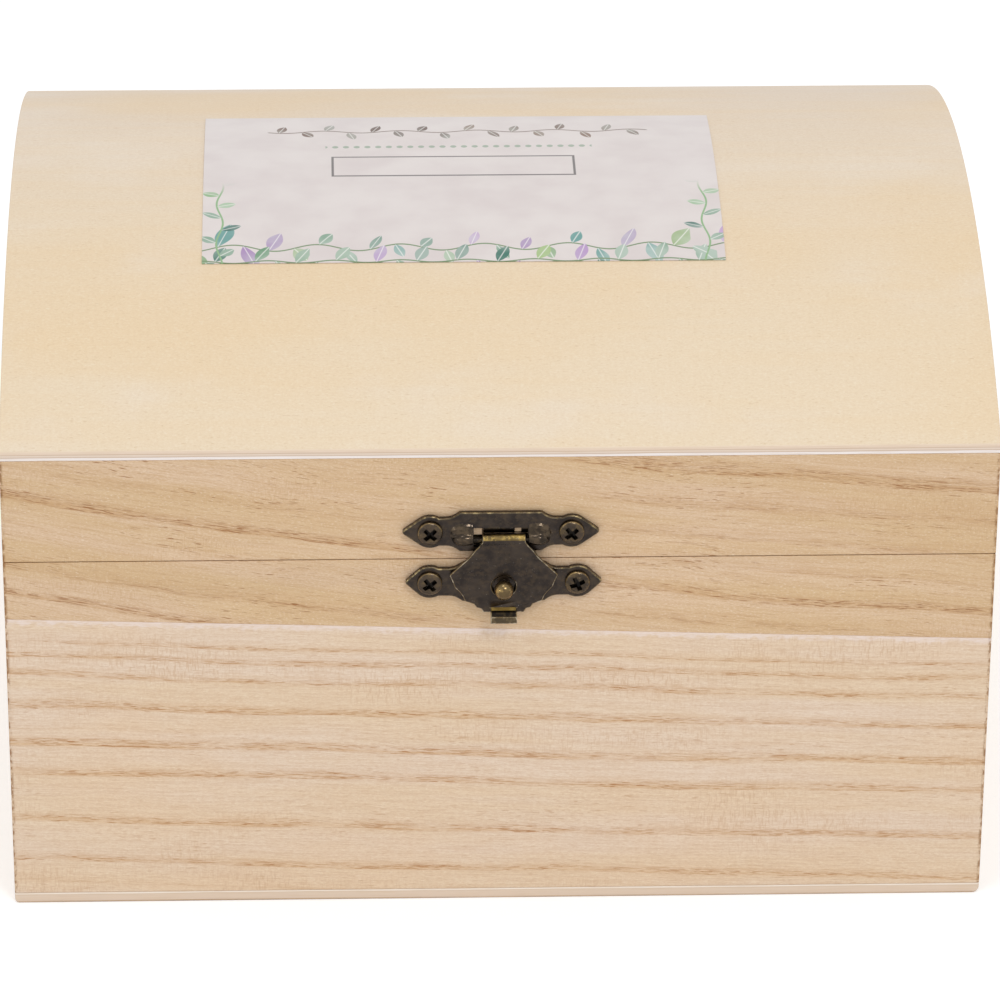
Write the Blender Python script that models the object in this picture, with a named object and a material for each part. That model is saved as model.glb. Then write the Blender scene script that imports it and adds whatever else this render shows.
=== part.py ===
"""A hinged wooden keepsake box with an arched plywood lid and a swing clasp.

Units are metres. +X runs along the box, -Y is its front and +Z is up. The origin is the
centre of the underside of the bottom panel. "Out" is a distance from the face that a
fitting is mounted on.
"""

import math

import bmesh
import bpy
from mathutils import Vector

# Wooden body
BOX_LENGTH = 0.150
BOX_DEPTH = 0.130
BASE_HEIGHT = 0.060
LID_HEIGHT = 0.036
CREST_RISE = 0.017
WALL = 0.007
LID_PLY = 0.0015
BOTTOM_PANEL = 0.0018
GLUE_GAP = 0.0003
SEAM_GAP = 0.0003
GLUE_LINE_LEFT_DROP = 0.0096
GLUE_LINE_RIGHT_DROP = 0.0145
ARCH_STEPS = 40
RAIL_TOP_STEPS = 4

# Paper label on the lid
LABEL_LENGTH = 0.0805
LABEL_DEPTH = 0.0496
LABEL_SHIFT_X = -0.0047
LABEL_SHIFT_Y = -0.0048
LABEL_PAPER = 0.00012
LABEL_GAP = 0.00006

# Stamped sheet of the clasp, and how its plates stand on the wood
CLASP_SHEET = 0.0007
PLATE_STANDOFF = 0.0003
FITTING_CLEARANCE = 0.0001
PLATE_HALF_LENGTH = 0.0148
PLATE_BODY_HALF_WIDTH = 0.0062
PLATE_BODY_HALF_HEIGHT = 0.0033
PLATE_NECK_REACH = 0.0083
PLATE_NECK_HALF_HEIGHT = 0.00235
PLATE_LOBE_RADIUS = 0.0027
PLATE_TIP_RADIUS = 0.0005
NECK_STEPS = 5
LOBE_STEPS = 10
TIP_STEPS = 4

# Upper plate; its two pressed hoods hold the flap's pin
MOUNT_PLATE_RISE = 0.0052
MOUNT_SCREW_REACH = 0.01065
FLAP_PIN_DROP = 0.0012
WINDOW_HALF_LENGTH = 0.0041
WINDOW_TOP_RISE = 0.0007
WINDOW_CLEARANCE = 0.0003
HOOD_INNER_REACH = 0.0043
HOOD_FULL_REACH = 0.0065
HOOD_OUTER_REACH = 0.0074
HOOD_RADIUS = 0.00112
HOOD_SLOPE_START = math.radians(118)
HOOD_END_TURN = math.radians(72)
HOOD_LIP = 0.00015
HOOD_LIP_SHARE = 0.93
HOOD_STEPS = 14
HOOD_END_STEPS = 5
PIN_CHANNEL_REACH = 0.0063

# Flap, which turns on the pin
FLAP_SHEET = 0.00055
FLAP_PIN_RADIUS = 0.00042
FLAP_PIN_PLAY = 0.00008
FLAP_SHIFT_X = 0.00045
FLAP_TOP_HALF_WIDTH = 0.00315
FLAP_HALF_WIDTH = 0.0082
FLAP_FLARE_RADIUS = 0.0017
FLAP_FLARE_ANGLE = math.radians(44)
FLAP_LENGTH = 0.0122
FLAP_LEAN = math.radians(2.9)
FLAP_WRAP = math.radians(250)
FLAP_CORNER_DROP = 0.0056
FLAP_HOLE_CLEARANCE = 0.00035
FLAP_LOWER_EDGE_SHARES = (
    (1.000, 0.000),
    (0.945, 0.170),
    (0.900, 0.330),
    (0.815, 0.450),
    (0.760, 0.550),
    (0.710, 0.700),
    (0.545, 0.780),
    (0.500, 0.870),
    (0.415, 0.905),
    (0.385, 0.980),
    (0.370, 1.000),
)
TAB_HALF_WIDTH = 0.0020
LEDGE_REACH = 0.0017
LEDGE_RISE = 0.0009
LIP_KNEE_DROP = 0.0008
LIP_KNEE_REACH = 0.0001
LIP_FOOT_DROP = 0.0018
LIP_FOOT_REACH = 0.0003
CURL_STEPS = 20

# Catch plate and its ball stud
CATCH_DROP = 0.0034
CATCH_SCREW_REACH = 0.01115
STUD_DROP = 0.0002
BALL_RADIUS = 0.0015
BALL_OUT = 0.0032
STUD_NECK_RADIUS = 0.0009
STUD_SHOULDER_RADIUS = 0.0014
STUD_SHOULDER_THICKNESS = 0.00025
BALL_STEPS = 10

# Cross-head screws: the clasp's, then the smaller ones of the hinges
SCREW_HEAD_RADIUS = 0.0019
SCREW_HEAD_HEIGHT = 0.0011
SCREW_SHANK_RADIUS = 0.0008
SCREW_LENGTH = 0.0055
HINGE_SCREW_HEAD_RADIUS = 0.0015
HINGE_SCREW_HEAD_HEIGHT = 0.0007
HINGE_SCREW_SHANK_RADIUS = 0.0007
HINGE_SCREW_LENGTH = 0.0050
SCREW_HOLE_CLEARANCE = 0.0002
HEAD_RIM_SHARE = 0.35
CROSS_LENGTH_SHARE = 0.62
CROSS_WIDTH_SHARE = 0.17
CROSS_DEPTH_SHARE = 0.65
MOUNT_SCREW_TURNS = (math.radians(40), math.radians(47))
CATCH_SCREW_TURNS = (math.radians(27), math.radians(12))
HINGE_SCREW_TURN_STEP = math.radians(31)
POINT_SHARE = 0.35
DOME_STEPS = 5
ROUND_SIDES = 24
HOLE_SIDES = 16

# Two butt hinges on the back
HINGE_LENGTH = 0.020
HINGE_END_INSET = 0.030
HINGE_SHEET = 0.0008
HINGE_PIN_RADIUS = 0.0008
HINGE_PIN_PLAY = 0.0001
HINGE_PIN_OVERHANG = 0.0004
HINGE_LEAF_DEPTH = 0.0105
HINGE_WRAP = math.radians(280)
HINGE_SCREW_REACH_X = 0.0060
HINGE_SCREW_DROP = 0.0065
KNUCKLE_HALF_LENGTH = 0.0033
KNUCKLE_GAP = 0.0003

# How far a cutter or a joined shape runs past what it works on
OVERRUN = 0.002
OVERLAP = 0.0003

# Worked out from the sizes above
FRONT = -BOX_DEPTH / 2
BACK = BOX_DEPTH / 2
END = BOX_LENGTH / 2
CREST_HEIGHT = BASE_HEIGHT + LID_HEIGHT
SEAM_TOP = BASE_HEIGHT + SEAM_GAP
SEAM_MIDDLE = BASE_HEIGHT + SEAM_GAP / 2
WALL_FOOT = BOTTOM_PANEL + GLUE_GAP
ARCH_RADIUS = ((BOX_DEPTH / 2) ** 2 + CREST_RISE**2) / (2 * CREST_RISE)
ARCH_CENTRE_HEIGHT = CREST_HEIGHT - ARCH_RADIUS
MOUNT_PLATE_HEIGHT = BASE_HEIGHT + MOUNT_PLATE_RISE
CATCH_HEIGHT = BASE_HEIGHT - CATCH_DROP
HINGE_REACH_X = BOX_LENGTH / 2 - HINGE_END_INSET
PLATE_FRONT_OUT = PLATE_STANDOFF + CLASP_SHEET
SCREW_SEAT_OUT = PLATE_FRONT_OUT + FITTING_CLEARANCE
FLAP_CURL_INNER = FLAP_PIN_RADIUS + FLAP_PIN_PLAY
FLAP_CURL_OUTER = FLAP_CURL_INNER + FLAP_SHEET
FLAP_PIN_OUT = FLAP_CURL_OUTER + PLATE_STANDOFF
FLAP_PIN_HEIGHT = MOUNT_PLATE_HEIGHT - FLAP_PIN_DROP
FLAP_PIN_HALF_LENGTH = PIN_CHANNEL_REACH - FITTING_CLEARANCE
FLAP_HOLE_RADIUS = BALL_RADIUS + FLAP_HOLE_CLEARANCE
HINGE_CURL_INNER = HINGE_PIN_RADIUS + HINGE_PIN_PLAY
HINGE_CURL_OUTER = HINGE_CURL_INNER + HINGE_SHEET
HINGE_PIN_OUT = HINGE_CURL_OUTER + PLATE_STANDOFF
HINGE_SEAT_OUT = PLATE_STANDOFF + HINGE_SHEET + FITTING_CLEARANCE


def clear_scene():
    """Remove whatever the file held before."""
    for item in list(bpy.data.objects):
        bpy.data.objects.remove(item, do_unlink=True)


def finish(name, colour, roughness, metallic=0.0):
    """One Principled material for one sub-part."""
    material = bpy.data.materials.new(name)
    material.use_nodes = True
    shader = material.node_tree.nodes["Principled BSDF"]
    shader.inputs["Base Color"].default_value = (*colour, 1.0)
    shader.inputs["Roughness"].default_value = roughness
    shader.inputs["Metallic"].default_value = metallic
    return material


def wood(name, colour):
    return finish(name, colour, roughness=0.6)


def bronze(name, colour=(0.115, 0.088, 0.062)):
    return finish(name, colour, roughness=0.42, metallic=0.85)


def world_place(item):
    """Place of an unturned carrier, its own carriers added up."""
    place = Vector((0, 0, 0))
    while item:
        place += item.location
        item = item.parent
    return place


def add_carrier(name, at, carrier=None):
    """An empty on a joint's axis, which what turns there is parented to."""
    empty = bpy.data.objects.new(name, None)
    bpy.context.collection.objects.link(empty)
    empty.location = Vector(at) - world_place(carrier)
    empty.parent = carrier
    return empty


def add_piece(name, mesh, material=None, at=(0, 0, 0), turn=(0, 0, 0), carrier=None):
    """Put a mesh in the scene as a named object; `at` is its place in the world."""
    if material:
        mesh.materials.clear()
        mesh.materials.append(material)
    piece = bpy.data.objects.new(name, mesh)
    bpy.context.collection.objects.link(piece)
    piece.location = Vector(at) - world_place(carrier)
    piece.rotation_euler = turn
    piece.parent = carrier
    return piece


def combine(piece, operation, mesh, at=None):
    """Cut, join or intersect a piece with a shape, a hidden wire until the piece is settled."""
    place = world_place(piece) if at is None else Vector(at)
    helper = add_piece(mesh.name, mesh, at=place, carrier=piece.parent)
    helper.hide_render = True
    helper.display_type = "WIRE"
    step = piece.modifiers.new(mesh.name, "BOOLEAN")
    step.solver = "EXACT"
    step.operation = operation
    step.object = helper


def settle(item):
    """Work an object's modifiers into its mesh, and clear away the helpers they used."""
    graph = bpy.context.evaluated_depsgraph_get()
    mesh = bpy.data.meshes.new_from_object(item.evaluated_get(graph))
    mesh.name = item.name
    helpers = [step.object for step in item.modifiers if step.type == "BOOLEAN"]
    item.modifiers.clear()
    item.data = mesh
    shade_round(mesh)
    for helper in helpers:
        bpy.data.objects.remove(helper, do_unlink=True)


def shade_round(mesh):
    mesh.shade_smooth()
    mesh.set_sharp_from_angle(angle=math.radians(35))


def prism(name, outline, low, high, along):
    """A solid whose outline, in the plane square to one axis, runs from low to high on it.

    Outline points are (y, z) along X, (x, z) along Y and (x, y) along Z.
    """
    corner = {
        "X": lambda a, b, height: (height, a, b),
        "Y": lambda a, b, height: (a, height, b),
        "Z": lambda a, b, height: (a, b, height),
    }[along]
    shape = bmesh.new()
    foot = shape.faces.new([shape.verts.new(corner(a, b, low)) for a, b in outline])
    grown = bmesh.ops.extrude_face_region(shape, geom=[foot])["geom"]
    raised = [item for item in grown if isinstance(item, bmesh.types.BMVert)]
    bmesh.ops.translate(shape, verts=raised, vec=corner(0, 0, high - low))
    bmesh.ops.recalc_face_normals(shape, faces=shape.faces)
    mesh = bpy.data.meshes.new(name)
    shape.to_mesh(mesh)
    shape.free()
    shade_round(mesh)
    return mesh


def loft(name, sections):
    """A solid through outlines in planes square to X, each given as (x, [(y, z), ...])."""
    shape = bmesh.new()
    rings = [[shape.verts.new((x, y, z)) for y, z in outline] for x, outline in sections]
    for first, second in zip(rings, rings[1:]):
        for index, corner in enumerate(first):
            before = index - 1
            shape.faces.new((first[before], corner, second[index], second[before]))
    shape.faces.new(rings[0])
    shape.faces.new(rings[-1])
    bmesh.ops.recalc_face_normals(shape, faces=shape.faces)
    mesh = bpy.data.meshes.new(name)
    shape.to_mesh(mesh)
    shape.free()
    shade_round(mesh)
    return mesh


def turned(name, profile, sides):
    """A solid of (radius, height) points turned round Z; the first and last lie on the axis."""
    shape = bmesh.new()
    corners = [shape.verts.new((radius, 0, height)) for radius, height in profile]
    line = [shape.edges.new(pair) for pair in zip(corners, corners[1:])]
    bmesh.ops.spin(
        shape,
        geom=corners + line,
        cent=(0, 0, 0),
        axis=(0, 0, 1),
        angle=math.tau,
        steps=sides,
    )
    bmesh.ops.remove_doubles(shape, verts=shape.verts, dist=1e-7)
    bmesh.ops.recalc_face_normals(shape, faces=shape.faces)
    mesh = bpy.data.meshes.new(name)
    shape.to_mesh(mesh)
    shape.free()
    shade_round(mesh)
    return mesh


def arc(centre, radius, start, end, steps):
    """Points on an arc of a circle, both ends included."""
    angles = [start + (end - start) * step / steps for step in range(steps + 1)]
    across, up = centre
    return [(across + radius * math.cos(a), up + radius * math.sin(a)) for a in angles]


def circle(centre, radius, sides):
    return arc(centre, radius, 0, math.tau, sides)[:-1]


def box_outline(low, high):
    (a, b), (c, d) = low, high
    return [(a, b), (c, b), (c, d), (a, d)]


def drill(piece, x, z, radius, low, high):
    """Bore a round hole along Y through a piece."""
    outline = circle((x, z), radius, HOLE_SIDES)
    combine(piece, "DIFFERENCE", prism(f"{piece.name}_hole", outline, low, high, "Y"), (0, 0, 0))


def arch_line(radius, start, end, steps):
    """(y, z) points of the arch, a circle with its centre below the box, between two depths."""
    depths = [start + (end - start) * step / steps for step in range(steps + 1)]
    return [(y, ARCH_CENTRE_HEIGHT + math.sqrt(radius**2 - y**2)) for y in depths]


def glue_line_height(x):
    """Height of the slanted joint between the two front boards."""
    share = (x + END) / BOX_LENGTH
    drop = GLUE_LINE_LEFT_DROP + share * (GLUE_LINE_RIGHT_DROP - GLUE_LINE_LEFT_DROP)
    return BASE_HEIGHT - drop


def mount_screw_places():
    return [(side * MOUNT_SCREW_REACH, MOUNT_PLATE_HEIGHT) for side in (-1, 1)]


def catch_screw_places():
    return [(FLAP_SHIFT_X + side * CATCH_SCREW_REACH, CATCH_HEIGHT) for side in (-1, 1)]


def hinge_screw_places(upwards):
    """Places of one leaf row's four screws on the back, above or below the seam."""
    height = SEAM_MIDDLE + upwards * HINGE_SCREW_DROP
    return [
        (hinge * HINGE_REACH_X + side * HINGE_SCREW_REACH_X, height)
        for hinge in (-1, 1)
        for side in (-1, 1)
    ]


def drill_pilots(board, places, radius, length, face):
    """Screw holes in a board, from its outer face inwards; face is -1 in front, 1 behind."""
    surface = face * BOX_DEPTH / 2
    outer = surface + face * OVERRUN
    inner = surface - face * (length + SCREW_HOLE_CLEARANCE)
    low, high = sorted((outer, inner))
    for x, z in places:
        drill(board, x, z, radius + SCREW_HOLE_CLEARANCE, low, high)
    settle(board)


def build_base():
    """Bottom panel, the front glued up from two boards, the back and the two ends."""
    panel = prism("bottom_panel", box_outline((-END, FRONT), (END, BACK)), 0, BOTTOM_PANEL, "Z")
    add_piece("bottom_panel", panel, wood("plywood panel", (0.58, 0.44, 0.30)))

    lower = [
        (-END, WALL_FOOT),
        (END, WALL_FOOT),
        (END, glue_line_height(END) - GLUE_GAP / 2),
        (-END, glue_line_height(-END) - GLUE_GAP / 2),
    ]
    upper = [
        (-END, glue_line_height(-END) + GLUE_GAP / 2),
        (END, glue_line_height(END) + GLUE_GAP / 2),
        (END, BASE_HEIGHT),
        (-END, BASE_HEIGHT),
    ]
    inner_front = FRONT + WALL
    add_piece(
        "base_front_lower_board",
        prism("base_front_lower_board", lower, FRONT, inner_front, "Y"),
        wood("pale paulownia board", (0.72, 0.57, 0.44)),
    )
    top_board = add_piece(
        "base_front_upper_board",
        prism("base_front_upper_board", upper, FRONT, inner_front, "Y"),
        wood("tan paulownia board", (0.66, 0.46, 0.27)),
    )
    drill_pilots(top_board, catch_screw_places(), SCREW_SHANK_RADIUS, SCREW_LENGTH, -1)

    back = prism(
        "base_back_board",
        box_outline((-END, WALL_FOOT), (END, BASE_HEIGHT)),
        BACK - WALL,
        BACK,
        "Y",
    )
    back_board = add_piece("base_back_board", back, wood("back board", (0.68, 0.50, 0.34)))
    drill_pilots(
        back_board, hinge_screw_places(-1), HINGE_SCREW_SHANK_RADIUS, HINGE_SCREW_LENGTH, 1
    )

    reach = BACK - WALL - GLUE_GAP
    outline = box_outline((-reach, WALL_FOOT), (reach, BASE_HEIGHT))
    for name, low in (("base_left_end", -END), ("base_right_end", END - WALL)):
        mesh = prism(name, outline, low, low + WALL, "X")
        add_piece(name, mesh, wood(f"{name} board", (0.70, 0.53, 0.38)))


def build_lid(carrier):
    """Bent plywood on two arched ends and two bevelled rails."""
    sheet = arch_line(ARCH_RADIUS, FRONT, BACK, ARCH_STEPS)
    sheet += arch_line(ARCH_RADIUS - LID_PLY, BACK, FRONT, ARCH_STEPS)
    add_piece(
        "lid_top_plywood",
        prism("lid_top_plywood", sheet, -END, END, "X"),
        wood("bent plywood", (0.77, 0.64, 0.46)),
        carrier=carrier,
    )

    under = ARCH_RADIUS - LID_PLY - GLUE_GAP
    for name, face in (("lid_front_rail", -1), ("lid_back_rail", 1)):
        outer = face * BACK
        inner = face * (BACK - WALL)
        outline = [(outer, SEAM_TOP), (inner, SEAM_TOP)]
        outline += arch_line(under, inner, outer, RAIL_TOP_STEPS)
        rail = add_piece(
            name,
            prism(name, outline, -END, END, "X"),
            wood(f"{name} board", (0.67, 0.48, 0.29)),
            carrier=carrier,
        )
        if face < 0:
            drill_pilots(rail, mount_screw_places(), SCREW_SHANK_RADIUS, SCREW_LENGTH, face)
        else:
            shank = HINGE_SCREW_SHANK_RADIUS
            drill_pilots(rail, hinge_screw_places(1), shank, HINGE_SCREW_LENGTH, face)

    reach = BACK - WALL - GLUE_GAP
    outline = [(-reach, SEAM_TOP), (reach, SEAM_TOP)]
    outline += arch_line(under, reach, -reach, ARCH_STEPS)
    for name, low in (("lid_left_end", -END), ("lid_right_end", END - WALL)):
        mesh = prism(name, outline, low, low + WALL, "X")
        add_piece(name, mesh, wood(f"{name} board", (0.70, 0.53, 0.38)), carrier=carrier)


def build_label(carrier):
    """A plain paper label that follows the arch, just clear of the plywood."""
    back = LABEL_SHIFT_Y + LABEL_DEPTH / 2
    front = LABEL_SHIFT_Y - LABEL_DEPTH / 2
    inner = ARCH_RADIUS + LABEL_GAP
    outline = arch_line(inner + LABEL_PAPER, front, back, ARCH_STEPS)
    outline += arch_line(inner, back, front, ARCH_STEPS)
    left = LABEL_SHIFT_X - LABEL_LENGTH / 2
    mesh = prism("lid_label", outline, left, left + LABEL_LENGTH, "X")
    add_piece("lid_label", mesh, finish("label paper", (0.75, 0.71, 0.70), 0.5), carrier=carrier)


def spade_outline(screw_reach):
    """Outline of a clasp plate: a body with a screw lobe and a blunt point at each end."""
    drop = PLATE_BODY_HALF_HEIGHT - PLATE_NECK_HALF_HEIGHT
    run = PLATE_NECK_REACH - PLATE_BODY_HALF_WIDTH
    neck = []
    for step in range(NECK_STEPS + 1):
        share = step / NECK_STEPS
        x = PLATE_BODY_HALF_WIDTH + run * share
        neck.append((x, PLATE_NECK_HALF_HEIGHT + drop * (1 - share) ** 2))
    inner_angle = math.pi - math.asin(PLATE_NECK_HALF_HEIGHT / PLATE_LOBE_RADIUS)
    tip_centre = PLATE_HALF_LENGTH - PLATE_TIP_RADIUS
    spread = (PLATE_LOBE_RADIUS - PLATE_TIP_RADIUS) / (tip_centre - screw_reach)
    side_angle = math.acos(spread)
    lobe = arc((screw_reach, 0), PLATE_LOBE_RADIUS, inner_angle, side_angle, LOBE_STEPS)
    tip = arc((tip_centre, 0), PLATE_TIP_RADIUS, side_angle, 0, TIP_STEPS)
    quarter = neck + lobe + tip
    right = quarter + [(x, -z) for x, z in reversed(quarter[:-1])]
    return right + [(-x, z) for x, z in reversed(right)]


def clasp_plate(name, screw_reach, at, carrier=None):
    """A stamped plate with its two screw holes, centred on `at`, standing off the front."""
    low = -PLATE_FRONT_OUT
    mesh = prism(name, spade_outline(screw_reach), low, -PLATE_STANDOFF, "Y")
    plate = add_piece(name, mesh, bronze(f"{name} bronze"), at=at, carrier=carrier)
    radius = SCREW_SHANK_RADIUS + SCREW_HOLE_CLEARANCE
    for side in (-1, 1):
        hole = circle((side * screw_reach, 0), radius, HOLE_SIDES)
        combine(plate, "DIFFERENCE", prism(f"{name}_hole", hole, low - OVERRUN, OVERRUN, "Y"))
    return plate


def curled_strip(inner, outer, wrap, length, lean=0.0):
    """Outline of a strip that hangs from a curl round the origin, as (across, up) points."""
    curl_outer = arc((0, 0), outer, -lean, wrap - lean, CURL_STEPS)
    curl_inner = arc((0, 0), inner, wrap - lean, -lean, CURL_STEPS)
    normal = Vector((math.cos(lean), -math.sin(lean)))
    down = Vector((-math.sin(lean), -math.cos(lean))) * length
    feet = [tuple(inner * normal + down), tuple(outer * normal + down)]
    return curl_outer + curl_inner + feet


def strip_along(path, thickness):
    """Outline of a strip of even thickness that lies on the right of an open path."""
    offsets = []
    for index, point in enumerate(path):
        before = Vector(point) - Vector(path[max(index - 1, 0)])
        after = Vector(path[min(index + 1, len(path) - 1)]) - Vector(point)
        before = before if before.length else after
        after = after if after.length else before
        first = Vector((before.y, -before.x)).normalized()
        second = Vector((after.y, -after.x)).normalized()
        mitre = (first + second).normalized()
        offsets.append(tuple(Vector(point) + mitre * thickness / mitre.dot(first)))
    return list(path) + offsets[::-1]


def hood_sections(pin, side):
    """Sections of a hood: round over the pin, sloped up to the plate, closed at its far end."""
    root = -PLATE_FRONT_OUT + OVERLAP
    start, end = -math.pi / 2, -math.pi / 2 - HOOD_SLOPE_START
    outline = [(root, pin[1] - HOOD_RADIUS)]
    outline += arc(pin, HOOD_RADIUS, start, end, HOOD_STEPS)
    run = -PLATE_FRONT_OUT - outline[-1][0]
    slope_top = outline[-1][1] - run * math.tan(HOOD_SLOPE_START)
    outline += [(-PLATE_FRONT_OUT, slope_top), (root, slope_top)]
    shares = [(HOOD_INNER_REACH, HOOD_LIP_SHARE), (HOOD_INNER_REACH + HOOD_LIP, 1)]
    for step in range(HOOD_END_STEPS + 1):
        turn = HOOD_END_TURN * step / HOOD_END_STEPS
        grown = math.sin(turn) / math.sin(HOOD_END_TURN)
        reach = HOOD_FULL_REACH + (HOOD_OUTER_REACH - HOOD_FULL_REACH) * grown
        shares.append((reach, math.cos(turn)))
    sections = []
    for reach, share in shares:
        ring = [(root + (y - root) * share, pin[1] + (z - pin[1]) * share) for y, z in outline]
        sections.append((side * reach, ring))
    return sections


def build_mount_plate(carrier):
    """Upper plate: a window for the flap's curl, between two hoods that hold the pin."""
    at = (0, FRONT, MOUNT_PLATE_HEIGHT)
    plate = clasp_plate("hasp_mount_plate", MOUNT_SCREW_REACH, at, carrier)
    pin = (-FLAP_PIN_OUT, -FLAP_PIN_DROP)
    for side, word in ((-1, "left"), (1, "right")):
        combine(plate, "UNION", loft(f"{word}_hood", hood_sections(pin, side)))

    window = box_outline(
        (-WINDOW_HALF_LENGTH, pin[1] - FLAP_CURL_OUTER - WINDOW_CLEARANCE),
        (WINDOW_HALF_LENGTH, WINDOW_TOP_RISE),
    )
    reach = PLATE_FRONT_OUT + OVERRUN
    combine(plate, "DIFFERENCE", prism("flap_window", window, -reach, OVERRUN, "Y"))

    bore = FLAP_PIN_RADIUS + FITTING_CLEARANCE
    channel = arc(pin, bore, math.pi / 2, math.pi * 3 / 2, HOOD_STEPS)
    channel += [(OVERRUN, pin[1] - bore), (OVERRUN, pin[1] + bore)]
    span = (-PIN_CHANNEL_REACH, PIN_CHANNEL_REACH)
    combine(plate, "DIFFERENCE", prism("pin_channel", channel, *span, "X"))
    settle(plate)


def build_flap(carrier):
    """The swinging leaf, its finger tab and the pin that both turn with."""
    at = world_place(carrier)
    pin = prism(
        "hasp_pin",
        circle((0, 0), FLAP_PIN_RADIUS, ROUND_SIDES),
        -FLAP_PIN_HALF_LENGTH,
        FLAP_PIN_HALF_LENGTH,
        "X",
    )
    pin_place = at - Vector((FLAP_SHIFT_X, 0, 0))
    add_piece("hasp_pin", pin, bronze("pin bronze"), at=pin_place, carrier=carrier)

    side = curled_strip(FLAP_CURL_INNER, FLAP_CURL_OUTER, FLAP_WRAP, FLAP_LENGTH, FLAP_LEAN)
    side = [(-across, up) for across, up in side]
    half = FLAP_HALF_WIDTH + OVERRUN
    mesh = prism("hasp_flap", side, -half, half, "X")
    flap = add_piece("hasp_flap", mesh, bronze("flap bronze"), at=at, carrier=carrier)

    reach = LEDGE_REACH + FLAP_CURL_OUTER + OVERRUN
    front = prism("flap_front_shape", flap_outline(), -reach, reach, "Y")
    combine(flap, "INTERSECT", front)
    tab = prism("finger_tab", tab_outline(), -TAB_HALF_WIDTH, TAB_HALF_WIDTH, "X")
    combine(flap, "UNION", tab)
    hole = circle((0, CATCH_HEIGHT - STUD_DROP - at.z), FLAP_HOLE_RADIUS, ROUND_SIDES)
    combine(flap, "DIFFERENCE", prism("stud_hole", hole, -reach, reach, "Y"))
    settle(flap)


def flap_outline():
    """Front view of the flap round its pin's middle: a flared leaf with a stepped foot."""
    bend_x = FLAP_TOP_HALF_WIDTH + FLAP_FLARE_RADIUS * (1 - math.cos(FLAP_FLARE_ANGLE))
    slope = math.tan(FLAP_FLARE_ANGLE)
    bend_z = (FLAP_HALF_WIDTH - bend_x) / slope - FLAP_CORNER_DROP
    flare_top = bend_z + FLAP_FLARE_RADIUS * math.sin(FLAP_FLARE_ANGLE)
    centre = (FLAP_TOP_HALF_WIDTH + FLAP_FLARE_RADIUS, flare_top)
    start, end = math.pi, math.pi + FLAP_FLARE_ANGLE
    half = [(FLAP_TOP_HALF_WIDTH, max(FLAP_CURL_OUTER, flare_top) + OVERLAP)]
    half += arc(centre, FLAP_FLARE_RADIUS, start, end, CURL_STEPS // 2)
    foot_drop = FLAP_LENGTH - FLAP_CORNER_DROP
    for across, down in FLAP_LOWER_EDGE_SHARES:
        half.append((across * FLAP_HALF_WIDTH, -FLAP_CORNER_DROP - down * foot_drop))
    return half + [(-x, z) for x, z in reversed(half)]


def tab_outline():
    """Side view of the finger tab: a ledge off the leaf's foot, then a lip that flares."""
    foot = FLAP_CURL_OUTER * math.cos(FLAP_LEAN) - FLAP_LENGTH * math.sin(FLAP_LEAN)
    top = -FLAP_LENGTH + LEDGE_RISE
    edge = -foot - LEDGE_REACH
    path = [
        (-foot + FLAP_SHEET / 2, top),
        (edge, top),
        (edge - LIP_KNEE_REACH, top - LIP_KNEE_DROP),
        (edge - LIP_FOOT_REACH, top - LIP_FOOT_DROP),
    ]
    return strip_along(path[::-1], FLAP_SHEET)


def build_catch():
    """Catch plate on the base and the ball stud that the flap's hole drops over."""
    at = (FLAP_SHIFT_X, FRONT, CATCH_HEIGHT)
    plate = clasp_plate("catch_plate", CATCH_SCREW_REACH, at)
    hole = circle((0, -STUD_DROP), STUD_NECK_RADIUS + FITTING_CLEARANCE, HOLE_SIDES)
    reach = PLATE_FRONT_OUT + OVERRUN
    combine(plate, "DIFFERENCE", prism("stud_seat", hole, -reach, OVERRUN, "Y"))
    settle(plate)

    shoulder = PLATE_FRONT_OUT + FITTING_CLEARANCE
    start = -math.acos(STUD_NECK_RADIUS / BALL_RADIUS)
    profile = [
        (0, PLATE_STANDOFF),
        (STUD_NECK_RADIUS, PLATE_STANDOFF),
        (STUD_NECK_RADIUS, shoulder),
        (STUD_SHOULDER_RADIUS, shoulder),
        (STUD_SHOULDER_RADIUS, shoulder + STUD_SHOULDER_THICKNESS),
        (STUD_NECK_RADIUS, shoulder + STUD_SHOULDER_THICKNESS),
    ]
    profile += arc((0, BALL_OUT), BALL_RADIUS, start, math.pi / 2, BALL_STEPS)[:-1]
    profile.append((0, BALL_OUT + BALL_RADIUS))
    stud = turned("catch_stud", profile, ROUND_SIDES)
    stud_place = (FLAP_SHIFT_X, FRONT, CATCH_HEIGHT - STUD_DROP)
    facing = (math.pi / 2, 0, 0)
    add_piece("catch_stud", stud, bronze("stud bronze"), at=stud_place, turn=facing)


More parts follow.
